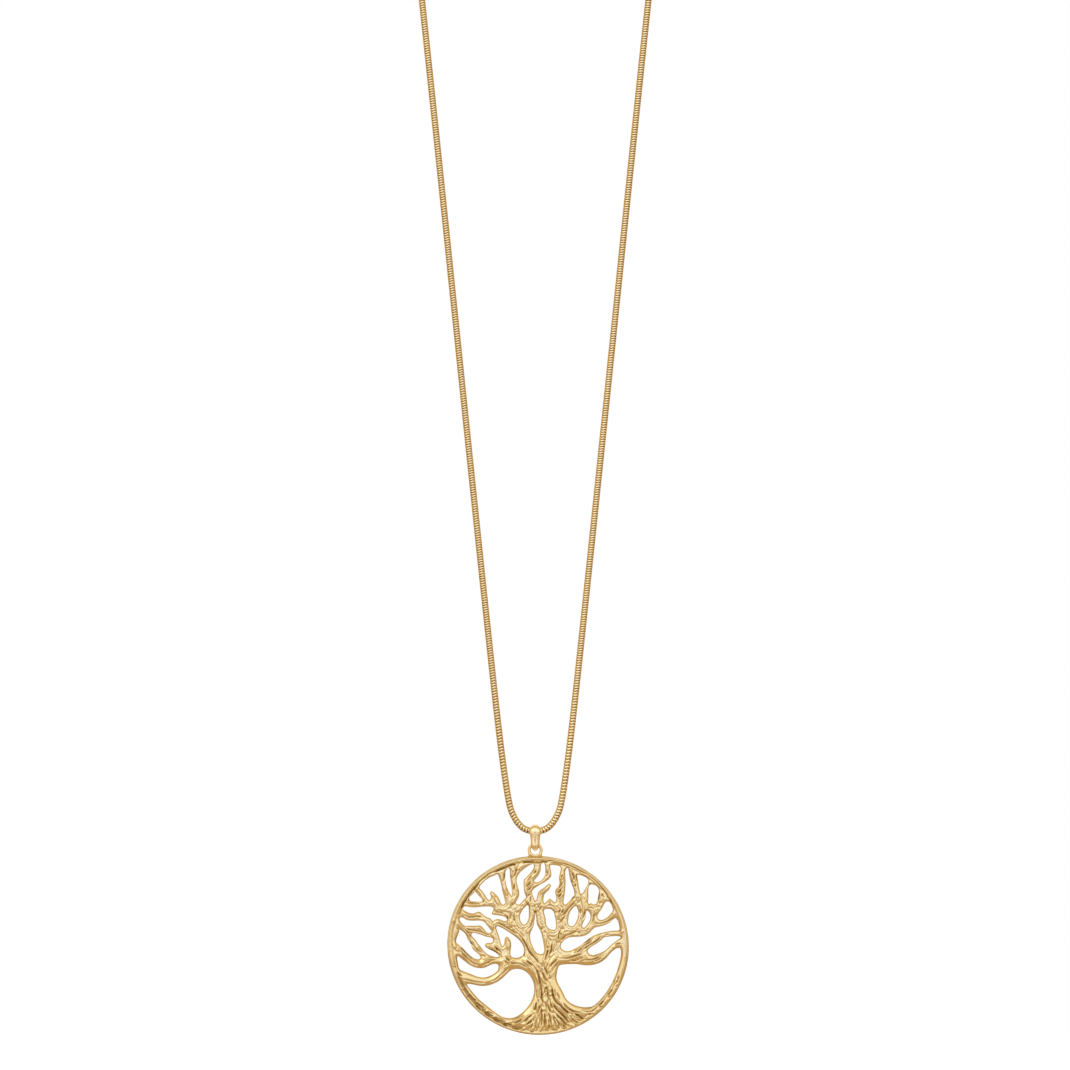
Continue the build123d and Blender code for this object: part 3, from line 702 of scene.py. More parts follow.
def colour_scale(tree, value, table):
    """A colour read from a table whose first column runs from -1 to 1."""
    share = tree.nodes.new("ShaderNodeMapRange")
    share.inputs["From Min"].default_value = -1.0
    tree.links.new(value, share.inputs["Value"])
    ramp = tree.nodes.new("ShaderNodeValToRGB")
    stops = ramp.color_ramp.elements
    while len(stops) < len(table):
        stops.new(0.5)
    for stop, (position, *colour) in zip(stops, table):
        stop.position = (position + 1.0) / 2
        stop.color = (*colour, 1.0)
    tree.links.new(share.outputs["Result"], ramp.inputs["Fac"])
    return ramp.outputs["Color"]


def clear_of(tree, source, middle, half, fade):
    """0 within half of the middle and 1 beyond the fade."""
    away = math_node(tree, "ABSOLUTE", math_node(tree, "SUBTRACT", source, middle), 0.0)
    return ramp_node(tree, away, half, fade)


# camera, light and floor
def make_camera():
    """A long lens straight in front, framed as the photograph is."""
    data = bpy.data.cameras.new("camera")
    camera = put_in_scene(bpy.data.objects.new("camera", data))
    data.sensor_width = sensor_width
    data.lens = data.sensor_width * camera_distance * photo_per_mm / photo_size
    middle_x = (photo_size / 2 - photo_chain_x) / photo_per_mm
    middle_z = low_z + (photo_chain_y - photo_size / 2) / photo_per_mm
    camera.location = Vector((middle_x, front_y - camera_distance, middle_z)) * MM
    camera.rotation_euler = (math.pi / 2, 0.0, 0.0)
    data.clip_start = 0.01
    data.clip_end = 100.0
    bpy.context.scene.camera = camera


def area_light(name, place, size, power, tint):
    """A square soft box, placed in metres, that faces the medallion."""
    data = bpy.data.lights.new(name, "AREA")
    data.shape = "SQUARE"
    data.size = size
    data.energy = power
    data.color = tint
    lamp = put_in_scene(bpy.data.objects.new(name, data))
    lamp.location = place
    lamp.rotation_euler = (Vector(light_target) - Vector(place)).to_track_quat("-Z", "Y").to_euler()
    lamp.visible_camera = False


def make_world():
    """White to the eye; for reflections a soft tent, bright in front and above, dim at the sides."""
    world = bpy.data.worlds.new("studio tent")
    bpy.context.scene.world = world
    world.use_nodes = True
    tree = world.node_tree
    tree.nodes.clear()
    place = tree.nodes.new("ShaderNodeTexCoord")
    parts = tree.nodes.new("ShaderNodeSeparateXYZ")
    aside, away, upward = parts.outputs
    forward = math_node(tree, "MULTIPLY", away, -1.0)
    leaning = math_node(tree, "ADD", upward, math_node(tree, "MULTIPLY", aside, -tent_lean))
    round_colour = colour_scale(tree, forward, TENT_ROUND)
    height_colour = colour_scale(tree, leaning, TENT_HEIGHT)
    light = colour_mix(tree, 1.0, round_colour, height_colour, "MULTIPLY")
    off_side = clear_of(tree, aside, *slit_aside)
    off_height = clear_of(tree, upward, *slit_upward)
    in_slit = math_node(tree, "SUBTRACT", 1.0, math_node(tree, "MAXIMUM", off_side, off_height))
    tent = tree.nodes.new("ShaderNodeBackground")
    plain = tree.nodes.new("ShaderNodeBackground")
    plain.inputs["Color"].default_value = white
    path = tree.nodes.new("ShaderNodeLightPath")
    mix = tree.nodes.new("ShaderNodeMixShader")
    out = tree.nodes.new("ShaderNodeOutputWorld")
    for start, end in (
        (place.outputs["Generated"], parts.inputs["Vector"]),
        (colour_mix(tree, in_slit, light, slit_colour, "MULTIPLY"), tent.inputs["Color"]),
        (path.outputs["Is Camera Ray"], mix.inputs["Fac"]),
        (tent.outputs["Background"], mix.inputs[1]),
        (plain.outputs["Background"], mix.inputs[2]),
        (mix.outputs["Shader"], out.inputs["Surface"]),
    ):
        tree.links.new(start, end)


def make_floor():
    """A pale round floor that fades into the white around it."""
    bm = bmesh.new()
    bmesh.ops.create_circle(bm, cap_ends=True, segments=floor_sides, radius=floor_radius)
    mesh = bpy.data.meshes.new("floor")
    bm.to_mesh(mesh)
    bm.free()
    floor = put_in_scene(bpy.data.objects.new("floor", mesh))
    floor.location = (0.0, front_y * MM, cad_box[0].z - floor_drop)
    material = bpy.data.materials.new("pale floor")
    material.use_nodes = True
    tree = material.node_tree
    shader = tree.nodes["Principled BSDF"]
    shader.inputs["Base Color"].default_value = floor_colour
    shader.inputs["Roughness"].default_value = floor_roughness
    shader.inputs["Emission Color"].default_value = white
    path = tree.nodes.new("ShaderNodeLightPath")
    tree.links.new(path.outputs["Is Camera Ray"], shader.inputs["Emission Strength"])
    place = tree.nodes.new("ShaderNodeTexCoord")
    reach = tree.nodes.new("ShaderNodeVectorMath")
    reach.operation = "LENGTH"
    fade = tree.nodes.new("ShaderNodeMapRange")
    fade.inputs["From Min"].default_value = floor_radius * floor_fade[0]
    fade.inputs["From Max"].default_value = floor_radius * floor_fade[1]
    fade.inputs["To Min"].default_value = 1.0
    fade.inputs["To Max"].default_value = 0.0
    tree.links.new(place.outputs["Object"], reach.inputs[0])
    tree.links.new(reach.outputs["Value"], fade.inputs["Value"])
    tree.links.new(fade.outputs["Result"], shader.inputs["Alpha"])
    floor.data.materials.append(material)


# shader node groups that the finishes share
def new_group(name, inputs, outputs):
    """A shader node group with its sockets, and its two end nodes; an input of four values is a colour."""
    group = bpy.data.node_groups.new(name, "ShaderNodeTree")
    for label, value in inputs.items():
        kind = "NodeSocketColor" if isinstance(value, tuple) else "NodeSocketFloat"
        group.interface.new_socket(name=label, in_out="INPUT", socket_type=kind).default_value = value
    for label, kind in outputs.items():
        group.interface.new_socket(name=label, in_out="OUTPUT", socket_type=kind)
    return group, group.nodes.new("NodeGroupInput"), group.nodes.new("NodeGroupOutput")


def cast_skin_group():
    """The fine orange-peel and soft mottling of plated metal."""
    group, ins, outs = new_group(
        "Cast skin",
        {"Grain scale": 2500.0, "Mottle scale": 400.0},
        {"Grain": "NodeSocketFloat", "Mottle": "NodeSocketFloat"},
    )
    place = group.nodes.new("ShaderNodeTexCoord").outputs["Object"]
    grain = noise(group, place, ins.outputs["Grain scale"], detail=3.0)
    mottle = ramp_node(group, noise(group, place, ins.outputs["Mottle scale"]), *mottle_band)
    group.links.new(grain, outs.inputs["Grain"])
    group.links.new(mottle, outs.inputs["Mottle"])
    return group


def painted_shade_group():
    """Colours from a point's painted shade: pale ridges as painted highlight and wear, warm body, and brown
    grooves as painted shade and patina.
    """
    group, ins, outs = new_group(
        "Painted shade and patina",
        {
            "Ridge colour": (0.9, 0.8, 0.6, 1.0),
            "Body colour": (0.8, 0.6, 0.3, 1.0),
            "Groove colour": (0.3, 0.2, 0.1, 1.0),
            "Depth": 0.5,
            "Mottle": 0.5,
            "Shine": 0.25,
            "Dullness": 0.3,
        },
        {"Colour": "NodeSocketColor", "Roughness": "NodeSocketFloat"},
    )
    around = math_node(group, "SUBTRACT", ins.outputs["Mottle"], 0.5)
    depth = math_node(group, "ADD", ins.outputs["Depth"], math_node(group, "MULTIPLY", around, mottle_depth))
    off_ridge = ramp_node(group, depth, *ridge_band)
    in_groove = ramp_node(group, depth, *groove_band)
    upper = colour_mix(group, off_ridge, ins.outputs["Ridge colour"], ins.outputs["Body colour"])
    whole = colour_mix(group, in_groove, upper, ins.outputs["Groove colour"])
    dull = math_node(group, "MULTIPLY", ins.outputs["Dullness"], in_groove)
    group.links.new(whole, outs.inputs["Colour"])
    group.links.new(math_node(group, "ADD", ins.outputs["Shine"], dull), outs.inputs["Roughness"])
    return group


def place_group(tree, group, **values):
    """The group as a node, with its own values."""
    node = tree.nodes.new("ShaderNodeGroup")
    node.node_tree = group
    for label, value in values.items():
        feed(tree, node.inputs[label.replace("_", " ")], value)
    return node


def gold(name, ridge, body, groove, shine, dullness, grain, bump, coat, rim_tint):
    """A gold finish whose colour follows each vertex's painted shade, pale as painted highlight on ridges and
    dark as painted shade in grooves, with its grain's scale per metre and height in metres.
    """
    material = bpy.data.materials.new(name)
    material.use_nodes = True
    tree = material.node_tree
    shader = tree.nodes["Principled BSDF"]
    # the depth attribute holds each vertex's painted shade
    depth = tree.nodes.new("ShaderNodeAttribute")
    depth.attribute_name = "depth"
    surface = place_group(tree, skin_group, Grain_scale=grain, Mottle_scale=grain / grains_per_mottle)
    painted_tones = place_group(
        tree, painted_shade_nodes, Ridge_colour=(*ridge, 1.0), Body_colour=(*body, 1.0), Groove_colour=(*groove, 1.0),
        Depth=depth.outputs["Fac"], Mottle=surface.outputs["Mottle"], Shine=shine, Dullness=dullness,
    )
    relief = tree.nodes.new("ShaderNodeBump")
    relief.inputs["Strength"].default_value = 1.0
    relief.inputs["Distance"].default_value = bump
    tree.links.new(surface.outputs["Grain"], relief.inputs["Height"])
    tree.links.new(relief.outputs["Normal"], shader.inputs["Normal"])
    tree.links.new(painted_tones.outputs["Colour"], shader.inputs["Base Color"])
    tree.links.new(painted_tones.outputs["Roughness"], shader.inputs["Roughness"])
    shader.inputs["Metallic"].default_value = 1.0
    shader.inputs["Coat Weight"].default_value = coat
    shader.inputs["Coat Roughness"].default_value = coat_roughness
    shader.inputs["Specular Tint"].default_value = (*rim_tint, 1.0)
    return material


# medallion relief, worked out on a grid of points over its face
class Relief:
    """A grid over the medallion's face, in millimetres from its middle, with the distances to its edges."""

    def __init__(self, node):
        self.half_width = math.hypot(long_radius * math.cos(oval_tilt), short_radius * math.sin(oval_tilt))
        self.half_height = math.hypot(long_radius * math.sin(oval_tilt), short_radius * math.cos(oval_tilt))
        low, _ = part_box(node)
        self.middle = (medallion_shift, low.z / MM + self.half_height)
        reach = int(long_radius / relief_pitch) + grid_margin
        steps = np.arange(-reach, reach + 1) * relief_pitch
        self.u, self.v = np.meshgrid(steps, steps)
        self.first = steps[0]
        self.measure(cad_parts[node])

    def measure(self, solid):
        """How far each point is from the oval's edge and from the nearest edge of all."""
        bm = bmesh.new()
        bm.from_mesh(solid.data)
        cut = bmesh.ops.bisect_plane(
            bm, geom=bm.verts[:] + bm.edges[:] + bm.faces[:],
            plane_co=(0.0, front_y * MM, 0.0), plane_no=(0.0, 1.0, 0.0),
        )["geom_cut"]
        walls = np.array([
            [(end.co.x / MM - self.middle[0], end.co.z / MM - self.middle[1]) for end in edge.verts]
            for edge in cut if isinstance(edge, bmesh.types.BMEdge)
        ])
        bm.free()
        walls = walls[self.oval_share(*walls.mean(1).T) < gap_share]
        self.outer = self.from_oval(self.u, self.v)
        gap = self.nearest(walls)
        gap[self.inside(walls)] *= -1.0
        self.edge = np.minimum(self.outer, gap)

    def oval_share(self, u, v):
        """1 on the oval's edge and 0 at its middle."""
        along = u * math.cos(oval_tilt) + v * math.sin(oval_tilt)
        aside = v * math.cos(oval_tilt) - u * math.sin(oval_tilt)
        return np.hypot(along / long_radius, aside / short_radius)

    def from_oval(self, u, v):
        """Distance in from the oval's edge."""
        share = np.maximum(self.oval_share(u, v), 1e-6)
        return (1.0 - share) * np.hypot(u, v) / share

    def nearest(self, walls):
        """Distance of each point from the nearest wall."""
        samples = []
        for start, end in walls:
            count = max(1, int(np.hypot(*(end - start)) / wall_step))
            samples.extend(start + (end - start) * i / count for i in range(count))
        tree = kdtree.KDTree(len(samples))
        for i, (u, v) in enumerate(samples):
            tree.insert((u, v, 0.0), i)
        tree.balance()
        found = [tree.find((u, v, 0.0))[2] for u, v in zip(self.u.ravel(), self.v.ravel())]
        return np.array(found).reshape(self.u.shape)

    def inside(self, walls):
        """Which points lie in a gap, by counting walls crossed along each row."""
        inside = np.zeros(self.u.shape, bool)
        low, high = walls[:, :, 1].min(1), walls[:, :, 1].max(1)
        for row, v in enumerate(self.v[:, 0]):
            over = walls[(low <= v) & (high > v)]
            if len(over):
                start, end = over[:, 0], over[:, 1]
                share = (v - start[:, 1]) / (end[:, 1] - start[:, 1])
                crossings = np.sort(start[:, 0] + share * (end[:, 0] - start[:, 0]))
                inside[row] = np.searchsorted(crossings, self.u[row]) % 2 == 1
        return inside

    def at(self, points):
        """Points in hundredths of the half width and half height, in millimetres."""
        return np.array(points, float) * (self.half_width / 100, self.half_height / 100)

    def window(self, line, reach):
        """The part of the grid within reach of a line."""
        low = ((line.min(0) - reach - self.first) / relief_pitch).astype(int)
        high = ((line.max(0) + reach - self.first) / relief_pitch).astype(int) + 2
        low, high = np.maximum(low, 0), np.minimum(high, self.u.shape[0])
        return slice(low[1], high[1]), slice(low[0], high[0])

    def beside(self, line, reach):
        """Distance from the line and share of the way along it, near the line."""
        part = self.window(line, reach)
        u, v = self.u[part], self.v[part]
        away = np.full(u.shape, np.inf)
        along = np.zeros(u.shape)
        for i, (start, end) in enumerate(zip(line, line[1:])):
            run = end - start
            share = ((u - start[0]) * run[0] + (v - start[1]) * run[1]) / (run @ run)
            share = np.clip(share, 0.0, 1.0)
            gap = np.hypot(u - start[0] - share * run[0], v - start[1] - share * run[1])
            closer = gap < away
            away[closer] = gap[closer]
            along[closer] = (i + share[closer]) / (len(line) - 1)
        return part, away, along

    def angle(self):
        """The angle of each point round the middle, in degrees from the right."""
        return np.degrees(np.arctan2(self.v, self.u)) % 360

    def kept_cells(self):
        """Cells of the grid that lie on metal, with no two that meet only at a corner."""
        solid = self.edge > -0.5 * relief_pitch
        cells = solid[:-1, :-1] & solid[1:, :-1] & solid[:-1, 1:] & solid[1:, 1:]
        while True:
            a, b = cells[:-1, :-1], cells[1:, 1:]
            c, d = cells[1:, :-1], cells[:-1, 1:]
            rising_pair, falling_pair = a & b & ~c & ~d, c & d & ~a & ~b
            if not rising_pair.any() and not falling_pair.any():
                return cells
            cells[:-1, :-1] &= ~rising_pair
            cells[1:, :-1] &= ~falling_pair

    def drawn_to_edge(self, spots):
        """The grid's places, with the given spots moved onto the nearest edge."""
        slope_v, slope_u = np.gradient(self.edge, relief_pitch)
        steepness = np.maximum(np.hypot(slope_v, slope_u), least_slope)
        most = edge_reach * relief_pitch
        reach = np.clip(self.edge[spots], -most, most)
        u, v = self.u.copy(), self.v.copy()
        u[spots] -= reach * slope_u[spots] / steepness[spots] ** 2
        v[spots] -= reach * slope_v[spots] / steepness[spots] ** 2
        return u, v


def smooth_line(points):
    """A smooth line through the points, with even steps over each span."""
    if len(points) < 3:
        return points
    rows = np.vstack([2 * points[0] - points[1], points, 2 * points[-1] - points[-2]])
    line = []
    for before, start, end, after in zip(rows, rows[1:], rows[2:], rows[3:]):
        for t in np.arange(span_steps) / span_steps:
            line.append(0.5 * (
                2 * start + (end - before) * t + (2 * before - 5 * start + 4 * end - after) * t ** 2
                + (3 * start - before - 3 * end + after) * t ** 3
            ))
    return np.array(line + [points[-1]])


def soften(heights, passes):
    """Evens out a grid of heights a little."""
    for _ in range(passes):
        for axis in (0, 1):
            heights = (np.roll(heights, 1, axis) + 2 * heights + np.roll(heights, -1, axis)) / 4
    return heights


def rim_heights(relief):
    """The rim's height from the table of its form."""
    angles, *table = np.array(RIM_FORM).T
    turned = relief.angle()
    columns = [np.full(turned.shape, rim_edge)]
    columns += [np.interp(turned, angles, column, period=360) for column in table]
    heights = columns[-1].copy()
    for near, far, first, second in zip(RIM_STEPS, RIM_STEPS[1:], columns, columns[1:]):
        here = (relief.outer >= near) & (relief.outer < far)
        share = rising(relief.outer, near, far - near)
        heights[here] = (first + (second - first) * share)[here]
    return np.where(relief.outer < 0, rim_edge, heights)


def strokes(relief, groups):
    """The deepest of a table's strokes at each point, fading at their ends."""
    field = np.zeros(relief.u.shape)
    for half_width, depth, lines in groups:
        for points in lines:
            line = smooth_line(relief.at(points))
            part, away, along = relief.beside(line, half_width)
            length = np.linalg.norm(np.diff(line, axis=0), axis=1).sum()
            taper = min(taper_share * length, longest_taper)
            ends = smoothstep(np.minimum(along, 1.0 - along) * length / taper) * (1.0 - tip_share) + tip_share
            stroke = depth * ends * np.clip(1.0 - (away / half_width / ends) ** 2, 0.0, 1.0) ** stroke_power
            field[part] = np.maximum(field[part], stroke)
    return field


def dots(relief, groups):
    """Round pits or knobs of a table."""
    field = np.zeros(relief.u.shape)
    for radius, depth, places in groups:
        for place in places:
            spot = relief.at([place])
            part = relief.window(spot, 2 * radius)
            away = np.hypot(relief.u[part] - spot[0, 0], relief.v[part] - spot[0, 1])
            field[part] = np.maximum(field[part], depth * np.exp(-(away / radius) ** 2))
    return field


def bark_direction(relief):
    """Which way the bark runs at each point: along the branches, and out from the fan's spot in the roots."""
    slope_v, slope_u = np.gradient(relief.edge, relief_pitch)
    across = soften(slope_u ** 2 - slope_v ** 2, lean_passes)
    slant = soften(2 * slope_u * slope_v, lean_passes)
    fan_u = relief.u - root_fan[0] * relief.half_width / 100
    fan_v = relief.v - root_fan[1] * relief.half_height / 100
    reach = np.hypot(fan_u, fan_v) + 1e-6
    roots = falling(relief.v, roots_top * relief.half_height, roots_blend)
    across += roots * ((fan_v ** 2 - fan_u ** 2) / reach ** 2 - across)
    slant += roots * (-2 * fan_u * fan_v / reach ** 2 - slant)
    lean = np.arctan2(slant, across) / 2 + math.pi / 2
    return np.cos(lean), np.sin(lean)


def bark_grain(relief):
    """Fine streaks that run along the branches: seeded unevenness, evened out along their length."""
    lean_u, lean_v = bark_direction(relief)
    draws = np.random.default_rng(streak_seed)
    rough = soften(draws.normal(0.0, 1.0, relief.u.shape), noise_passes)
    rows, columns = np.indices(relief.u.shape).astype(float)
    total = rough.copy()
    for way in (1.0, -1.0):
        row, column = rows.copy(), columns.copy()
        run_u, run_v = way * lean_u, way * lean_v
        for _ in range(streak_steps):
            row = np.clip(row + run_v, 0, rows.max())
            column = np.clip(column + run_u, 0, columns.max())
            near = np.rint(row).astype(int), np.rint(column).astype(int)
            total += rough[near]
            same = np.sign(lean_u[near] * run_u + lean_v[near] * run_v + 1e-9)
            run_u, run_v = same * lean_u[near], same * lean_v[near]
    total -= soften(total, swell_passes)
    total /= total.std()
    return np.clip(total, *streak_range) - crack_share * np.exp(-(total / crack_width) ** 2)


def medallion_heights(relief):
    """Front height, back height and painted shade of the whole casting."""
    on_trunk = falling(relief.v, trunk_top * relief.half_height, trunk_blend)
    to_tree = rising(relief.outer, *tree_step)
    tree = branch_rise + trunk_lift * on_trunk * rising(relief.edge, *lift_step)
    form = soften(rim_heights(relief) * (1.0 - to_tree) + tree * to_tree, form_passes)
    near_rim = falling(relief.outer, *rim_step)
    gap_round = np.clip(relief.edge / rounding, 0.0, 1.0)
    rim_round = np.clip(relief.outer / rim_rounding, 0.0, 1.0)
    turn = gap_round * (1.0 - near_rim) + rim_round * near_rim
    domed = 1.0 - (1.0 - turn) ** 2
    cuts = np.maximum(strokes(relief, GROOVES), dots(relief, PITS))
    rises = np.maximum(strokes(relief, ROPES), dots(relief, KNOBS))
    grain = bark_grain(relief) * rising(relief.edge, *grain_step) * (rim_grain + (1.0 - rim_grain) * to_tree)
    grain *= (1.0 - trunk_calm * on_trunk) * np.clip(1.0 - (cuts + rises) / stroke_calm, 0.0, 1.0)
    front = edge_rise + (form - edge_rise) * domed + rises * rising(relief.edge, *rope_step)
    front = front + streak_rise * grain - cuts
    front = soften(np.clip(front, least_rise, most_rise), front_passes)
    back_turn = np.clip(relief.edge / back_rounding, 0.0, 1.0)
    back = back_rise + back_dome * np.sqrt(1.0 - (1.0 - back_turn) ** 2)

    # painted shade: darker in hollows, cut lines, at edges, over low streaks, on the trunk and in the rim's
    # channel; lighter on ridges and raised streaks
    hollow = np.clip((soften(front, hollow_passes) - front) / hollow_reach, -1.0, 1.0)
    shade = plain_shade + trunk_shade * on_trunk + (hollow_shade - trunk_shade * on_trunk) * hollow
    shade += (cut_shade - trunk_cut_shade * on_trunk) * np.maximum(cuts - cut_start, 0.0)
    shade += edge_shade * (1.0 - domed) - streak_shade * grain
    channel = rising(relief.outer, *channel_start) * falling(relief.outer, *channel_end)
    shade += channel * np.interp(relief.angle(), *np.array(RIM_SHADE).T)
    return front, back, np.clip(shade, 0.0, 1.0)


def bare_sides(quads):
    """Sides of the faces that no neighbour shares, each in the order that its face runs."""
    steps = np.stack([quads, np.roll(quads, -1, 1)], -1).reshape(-1, 2)
    most = quads.max() + 1
    return steps[~np.isin(steps[:, 0] * most + steps[:, 1], steps[:, 1] * most + steps[:, 0])]


def casting(relief):
    """Vertices, faces and painted shades of the medallion without its ring: front, back and walls."""
    front, back, shade = medallion_heights(relief)
    number = np.arange(relief.u.size).reshape(relief.u.shape)
    corners = np.stack([number[:-1, :-1], number[:-1, 1:], number[1:, 1:], number[1:, :-1]], -1)
    quads = corners[relief.kept_cells()]
    border = bare_sides(quads)
    spots = np.unravel_index(np.unique(border), relief.u.shape)
    u, v = relief.drawn_to_edge(spots)
    front[spots] = edge_rise
    back[spots] = back_rise
    used = np.unique(quads)
    count = len(used)
    x = relief.middle[0] + u.ravel()[used]
    z = relief.middle[1] + v.ravel()[used]
    sheets = [np.stack([x, front_y + away.ravel()[used], z], -1) for away in (-front, back)]
    quads = np.searchsorted(used, quads)
    start, end = np.searchsorted(used, border).T
    walls = np.stack([end, start, start + count, end + count], -1)
    faces = np.concatenate([quads, quads[:, ::-1] + count, walls])
    shades = np.concatenate([shade.ravel()[used], np.full(count, back_shade)])
    return np.concatenate(sheets), faces.tolist(), shades


def torus(middle, line_radius, half_breadth, half_thickness):
    """Vertices and faces of a ring of flattened wire that faces the front."""
    turns = np.arange(ring_steps)[:, None] * 2 * math.pi / ring_steps
    wire = np.arange(wire_sides) * 2 * math.pi / wire_sides
    radius = line_radius + half_breadth * np.cos(wire)
    x = middle[0] + radius * np.cos(turns)
    y = np.broadcast_to(middle[1] + half_thickness * np.sin(wire), x.shape)
    z = middle[2] + radius * np.sin(turns)
    return np.stack([x, y, z], -1).reshape(-1, 3), wrapped_faces(ring_steps, wire_sides).tolist()


def leg(start, end, start_radius, end_radius):
    """Vertices and faces of a short round leg between two points, closed at both ends."""
    run = (end - start) / np.linalg.norm(end - start)
    side = np.cross(run, (0.0, 1.0, 0.0))
    side /= np.linalg.norm(side)
    turns = np.arange(wire_sides) * 2 * math.pi / wire_sides
    ring = np.cos(turns)[:, None] * side + np.sin(turns)[:, None] * np.cross(run, side)
    rows = []
    for share in np.linspace(0.0, 1.0, leg_rows):
        radius = start_radius + (end_radius - start_radius) * share ** 2
        rows.append(start + (end - start) * share + ring * radius)
    vertices = np.concatenate([[start - run * start_radius * leg_cap], *rows, [end]])
    one = np.arange(leg_rows * wire_sides).reshape(leg_rows, wire_sides) + 1
    after = np.roll(one, -1, 1)
    faces = np.stack([one[:-1], one[1:], after[1:], after[:-1]], -1).reshape(-1, 4).tolist()
    faces += [[0, first, second] for first, second in zip(one[0], after[0])]
    faces += [[leg_rows * wire_sides + 1, second, first] for first, second in zip(one[-1], after[-1])]
    return vertices, faces


def soldered_ring():
    """The ring that hangs in the bail and its two short legs, each as vertices and faces."""
    middle = np.array((0.0, front_y, low_z - bail_drop - ring_drop))
    yield torus(middle, ring_line, ring_breadth / 2, ring_wire / 2)
    for side in (-1, 1):
        start, end = (middle + (side * aside, 0.0, -down) for aside, down, _ in (leg_top, leg_foot))
        yield leg(start, end, leg_top[2], leg_foot[2])


def thin_out(piece):
    """Takes out the triangles that flat places can spare."""
    count = sum(len(face.vertices) - 2 for face in piece.data.polygons)
    thinner = piece.modifiers.new("thin out", "DECIMATE")
    thinner.ratio = min(1.0, most_triangles / count)
    shape = piece.evaluated_get(bpy.context.evaluated_depsgraph_get())
    mesh = bpy.data.meshes.new_from_object(shape)
    piece.modifiers.clear()
    piece.data = mesh


def make_medallion(material):
    """The cast tree and rim with the soldered ring, in one mesh."""
    vertices, faces, shades = casting(Relief("medallion"))
    for points, sides in soldered_ring():
        faces += [[corner + len(vertices) for corner in side] for side in sides]
        vertices = np.concatenate([vertices, points])
        shades = np.concatenate([shades, np.full(len(points), ring_shade)])
    piece = mesh_piece("medallion_cast", vertices, faces, material, shades)
    thin_out(piece)
    return piece


# the snake chain
def chain_line():
    """Points along the chain's smooth line and their distance along it, in millimetres."""
    route = CHAIN_ROUTE + [(-x, y, z) for x, y, z in reversed(CHAIN_ROUTE)]
    data = bpy.data.curves.new("chain line", "CURVE")
    data.dimensions = "3D"
    spline = data.splines.new("NURBS")
    spline.points.add(len(route) - 1)
    for point, (x, y, z) in zip(spline.points, route):
        point.co = (x * MM, y * MM, z * MM, 1.0)
    spline.order_u = 3
    spline.use_endpoint_u = True
    spline.resolution_u = line_steps
    curve = bpy.data.objects.new("chain line", data)
    drawn = bpy.data.meshes.new_from_object(curve)
    points = np.array([vertex.co for vertex in drawn.vertices]) / MM
    bpy.data.meshes.remove(drawn)
    bpy.data.objects.remove(curve)
    steps = np.linalg.norm(np.diff(points, axis=0), axis=1)
    points = points[np.concatenate([[True], steps > 1e-5])]
    return points, np.concatenate([[0.0], np.cumsum(np.linalg.norm(np.diff(points, axis=0), axis=1))])


def link_places(length):
    """Middles of the links along the line, closer on the straights than round the U, and their pitches."""
    half = [0.0]
    while half[-1] < length / 2 - link_pitch:
        share = float(rising(half[-1], *link_ease))
        half.append(half[-1] + link_pitch_low + (link_pitch - link_pitch_low) * share)
    half = np.array(half)
    places = np.concatenate([-half[:0:-1], half]) + length / 2
    return places, np.gradient(places)


def link_frames(line, run, places):
    """Each link's middle, direction, front and side; the fronts follow the bends without a twist."""
    middles, ahead, behind = (
        np.stack([np.interp(places + shift, run, column) for column in line.T], -1)
        for shift in (0.0, direction_step, -direction_step)
    )
    directions = ahead - behind
    directions /= np.linalg.norm(directions, axis=1)[:, None]
    fronts = np.zeros_like(directions)
    low = len(places) // 2
    fronts[low] = (0.0, -1.0, 0.0)
    for order in (range(low + 1, len(places)), range(low - 1, -1, -1)):
        before = low
        for i in order:
            turned = fronts[before] - directions[i] * (fronts[before] @ directions[i])
            fronts[i] = turned / np.linalg.norm(turned)
            before = i
    return middles, directions, fronts, np.cross(directions, fronts)


def link_shape():
    """One link's turns round the chain and, by rows of its form: along in pitches, radius, painted shade."""
    form = np.array(LINK_FORM)
    turns = np.radians([quarter + turn for quarter in (0, 90, 180, 270) for turn in LINK_TURNS])
    plates = np.sin(4 * turns)
    open_front = rising(np.abs(np.cos(turns)), *link_open)
    lobe = lobe_edge + (1.0 - lobe_edge) * np.abs(plates) ** lobe_power
    drop = (1.0 - form[:, 1, None]) * (side_relief + (1.0 - side_relief) * open_front) * lobe
    along = form[:, 0, None] * (1.0 + side_growth * (1.0 - open_front)) + link_wave * np.sign(plates)
    # painted shade: darkest in the slits where the plates part, and on the chain's two sides
    slits = form[:, 2, None] * (slit_share + (1.0 - slit_share) * open_front) * lobe
    painted_darks = np.maximum(slits, side_shade * (1.0 - open_front))
    return turns, along, (1.0 - drop) * chain_diameter / 2, painted_darks


def make_chain(material):
    """Every link of the snake chain, in four pieces round the loop."""
    line, run = chain_line()
    places, pitches = link_places(run[-1])
    middles, directions, fronts, sides = link_frames(line, run, places)
    turns, along, radius, painted_darks = link_shape()
    ring = np.cos(turns)[:, None] * fronts[:, None, :] + np.sin(turns)[:, None] * sides[:, None, :]
    links = (
        middles[:, None, None, :]
        + (pitches[:, None, None] * along)[..., None] * directions[:, None, None, :]
        + radius[None, :, :, None] * ring[:, None, :, :]
    )
    faces = wrapped_faces(*radius.shape)
    quarters = np.linspace(0, len(places), len(CHAIN_NAMES) + 1).astype(int)
    pieces = []
    for name, start, end in zip(CHAIN_NAMES, quarters, quarters[1:]):
        shifts = np.arange(end - start)[:, None, None] * radius.size
        every = (faces + shifts).reshape(-1, 4).tolist()
        painted_shades = np.tile(painted_darks.ravel(), end - start)
        pieces.append(mesh_piece(name, links[start:end].reshape(-1, 3), every, material, painted_shades))
    return pieces


